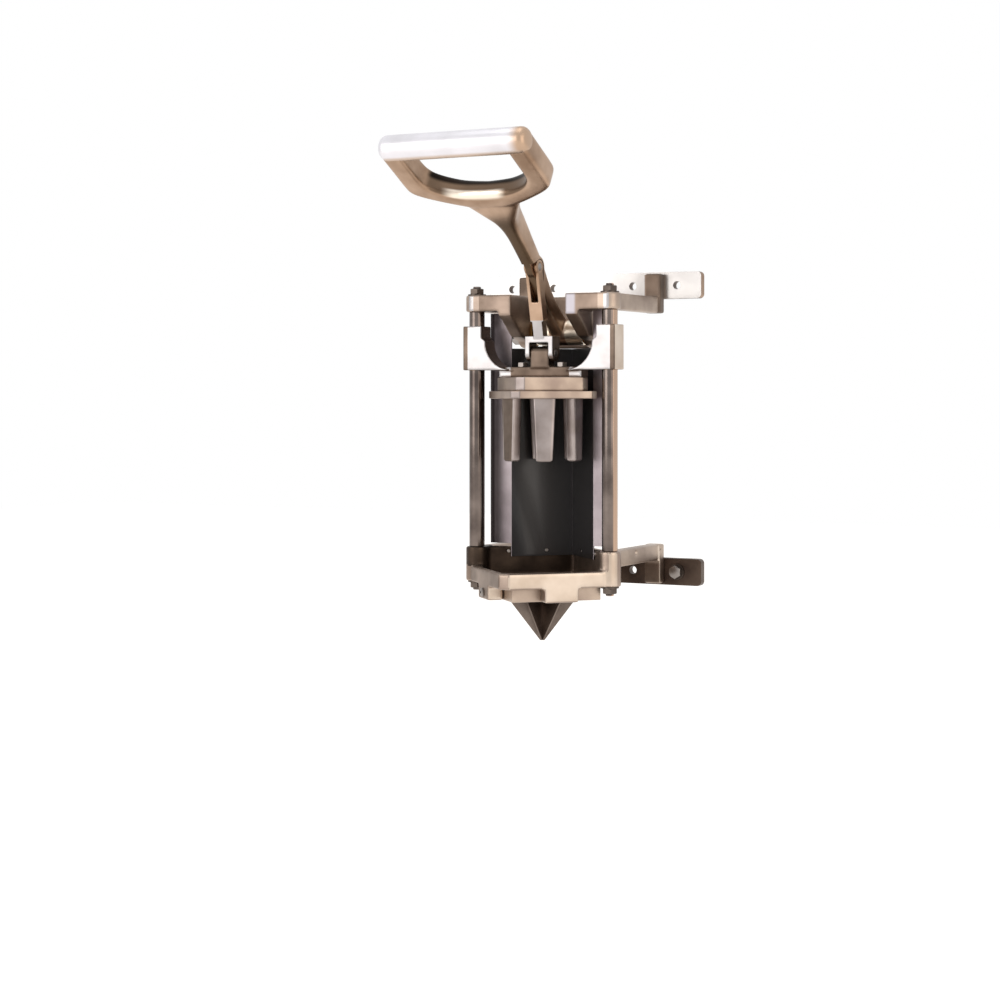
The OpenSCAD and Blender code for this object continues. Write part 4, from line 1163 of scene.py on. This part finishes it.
# The rail's edges get the darker strip as painted shade, and its end faces a tan tone.
normals, (x, y, z) = face_table(upper_rail)
refinish(upper_rail, shaded_strip, abs(normals[1]) < 0.5)
refinish(upper_rail, tumbled_cast, (abs(normals[0]) > 0.5) & (abs(x) > RAIL_END))
for row in (
    # The lower rail takes the darker strip as painted shade.
    ("lower_wall_rail", "lower_rail_strip", shaded_strip, "frame", "cast", 0.6),
    ("lag_washers", "lag_washer_rings", black_zinc, "frame", "screw", 0.2),
    ("rod_washers", "rod_washer_rings", black_zinc, "frame", "screw", 0.2),
    ("shaft_washers", "hinge_washer_rings", zinc_plate, "frame", "screw", 0.2),
    ("friction_washers", "friction_rings", sintered_bronze, "frame", "bronze", 0.2),
    ("guide_bushes", "guide_bush_rings", sintered_bronze, "pusher", "bronze", 0.3),
    ("lug_bush", "lug_bush_ring", sintered_bronze, "pusher", "bronze", 0.3),
    ("lever_bushes", "hinge_bush_rings", sintered_bronze, "lever", "bronze", 0.3),
):
    broken_edges(*row)

# %% [markdown]
# ## The guard
#
# The guard is one bent sheet: two panels in a V behind the potato, and a flange along
# each side that is screwed to the head. The panels are enamelled and the front of the
# flanges is left bare, so the faces that look forwards get a second material, which
# carries painted shade at the outer rim.

# %% The guard
guard = broken_edges("back_guard", "guard_sheet", dark_enamel, "frame", "guard", 0.25)
# Forward faces: bare flanges, with painted shade at the outer rim.
refinish(guard, bare_strip, face_table(guard)[0][1] < -0.9)

# %% [markdown]
# ## Stage, light and camera
#
# The floor is pale and lies below the part, as a worktop does. The world is white for
# the camera and for what the metal mirrors, and gives a plain soft light to the rest.
# One large lamp above the left shoulder models the shapes, a weaker one fills in from
# the right, and a third lights what looks up.

# %% Stage
FLOOR_DROP, far = 0.14, 4
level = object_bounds()[0][2] - FLOOR_DROP
floor_corners = [(-far, -far, level), (far, -far, level), (far, far, level), (-far, far, level)]
floor = make_mesh("floor", floor_corners, [[0, 1, 2, 3]])


def seen_directly(tree):
    """1 for rays from the camera, a mirror or glass, else 0."""
    path = add_node(tree, "LightPath").outputs
    some = combined(tree, "MAXIMUM", path["Is Camera Ray"], path["Is Glossy Ray"])
    return combined(tree, "MAXIMUM", some, path["Is Transmission Ray"])


def shown_as(tree, plain, direct, output):
    """Sends plain to the output, but direct to the rays that see it directly."""
    shown = add_node(
        tree, "MixShader", Fac=seen_directly(tree), input_1=plain, input_2=direct
    )
    add_node(tree, output, Surface=shown.outputs[0])


worktop, tree = new_tree("pale_worktop")[:2]
matte = add_node(tree, "BsdfDiffuse", Color=linear("d8d6d4")).outputs[0]
glow = add_node(tree, "Emission", Color=linear("ffffff"), Strength=0.75).outputs[0]
both = add_node(tree, "AddShader", input_0=matte, input_1=glow).outputs[0]
shown_as(tree, matte, both, "OutputMaterial")
floor.data.materials.append(worktop)

world = bpy.data.worlds.new("studio")
bpy.context.scene.world = world
world.use_nodes = True
tree = world.node_tree
tree.nodes.clear()
lit = add_node(tree, "Background", Color=linear("fffaf4"), Strength=0.6).outputs[0]
white = add_node(tree, "Background", Color=linear("ffffff"), Strength=1.0).outputs[0]
shown_as(tree, lit, white, "OutputWorld")
print("floor at", round(level, 3), "m")

# %% Lamps
LOOK_AT = Vector((0.0, -0.14, 0.05))


def soft_lamp(name, place, size, watts, tint):
    """Square area lamp that looks at the part."""
    lamp = bpy.data.lights.new(name, "AREA")
    lamp.size, lamp.energy, lamp.color = size, watts, linear(tint)[:3]
    made = bpy.data.objects.new(name, lamp)
    bpy.context.scene.collection.objects.link(made)
    made.location = place
    made.rotation_euler = (Vector(place) - LOOK_AT).to_track_quat("Z", "Y").to_euler()
    return made


# place and size in metres, power in watts
soft_lamp("key", (-1.0, -2.1, 0.5), 1.3, 12, "fffaf6")
soft_lamp("fill", (1.5, -0.9, 0.4), 1.2, 5, "fff0e0")
soft_lamp("top", (0.0, -0.5, 1.9), 1.2, 6, "ffffff")

# %% [markdown]
# The camera stands two metres away, to the right of the middle and level with the
# crosshead. It looks straight ahead, so upright edges stay upright, and the picture is
# moved up and across with the lens shift.

# %% Camera
STAND_RIGHT, STAND_FRONT, STAND_HIGH, TURN = 0.9997, 1.9598, 0.0365, 27.03
lens = bpy.data.cameras.new("camera")
lens.lens, lens.sensor_width = 72.86, 36
lens.shift_x, lens.shift_y = -0.0422, -0.1041
lens.clip_end = 20
camera = bpy.data.objects.new("camera", lens)
camera.location = (STAND_RIGHT, axis[1] - STAND_FRONT, STAND_HIGH)
camera.rotation_euler = (math.radians(90), 0, math.radians(TURN))
bpy.context.scene.collection.objects.link(camera)
bpy.context.scene.camera = camera
bpy.context.scene.view_settings.view_transform = "Standard"
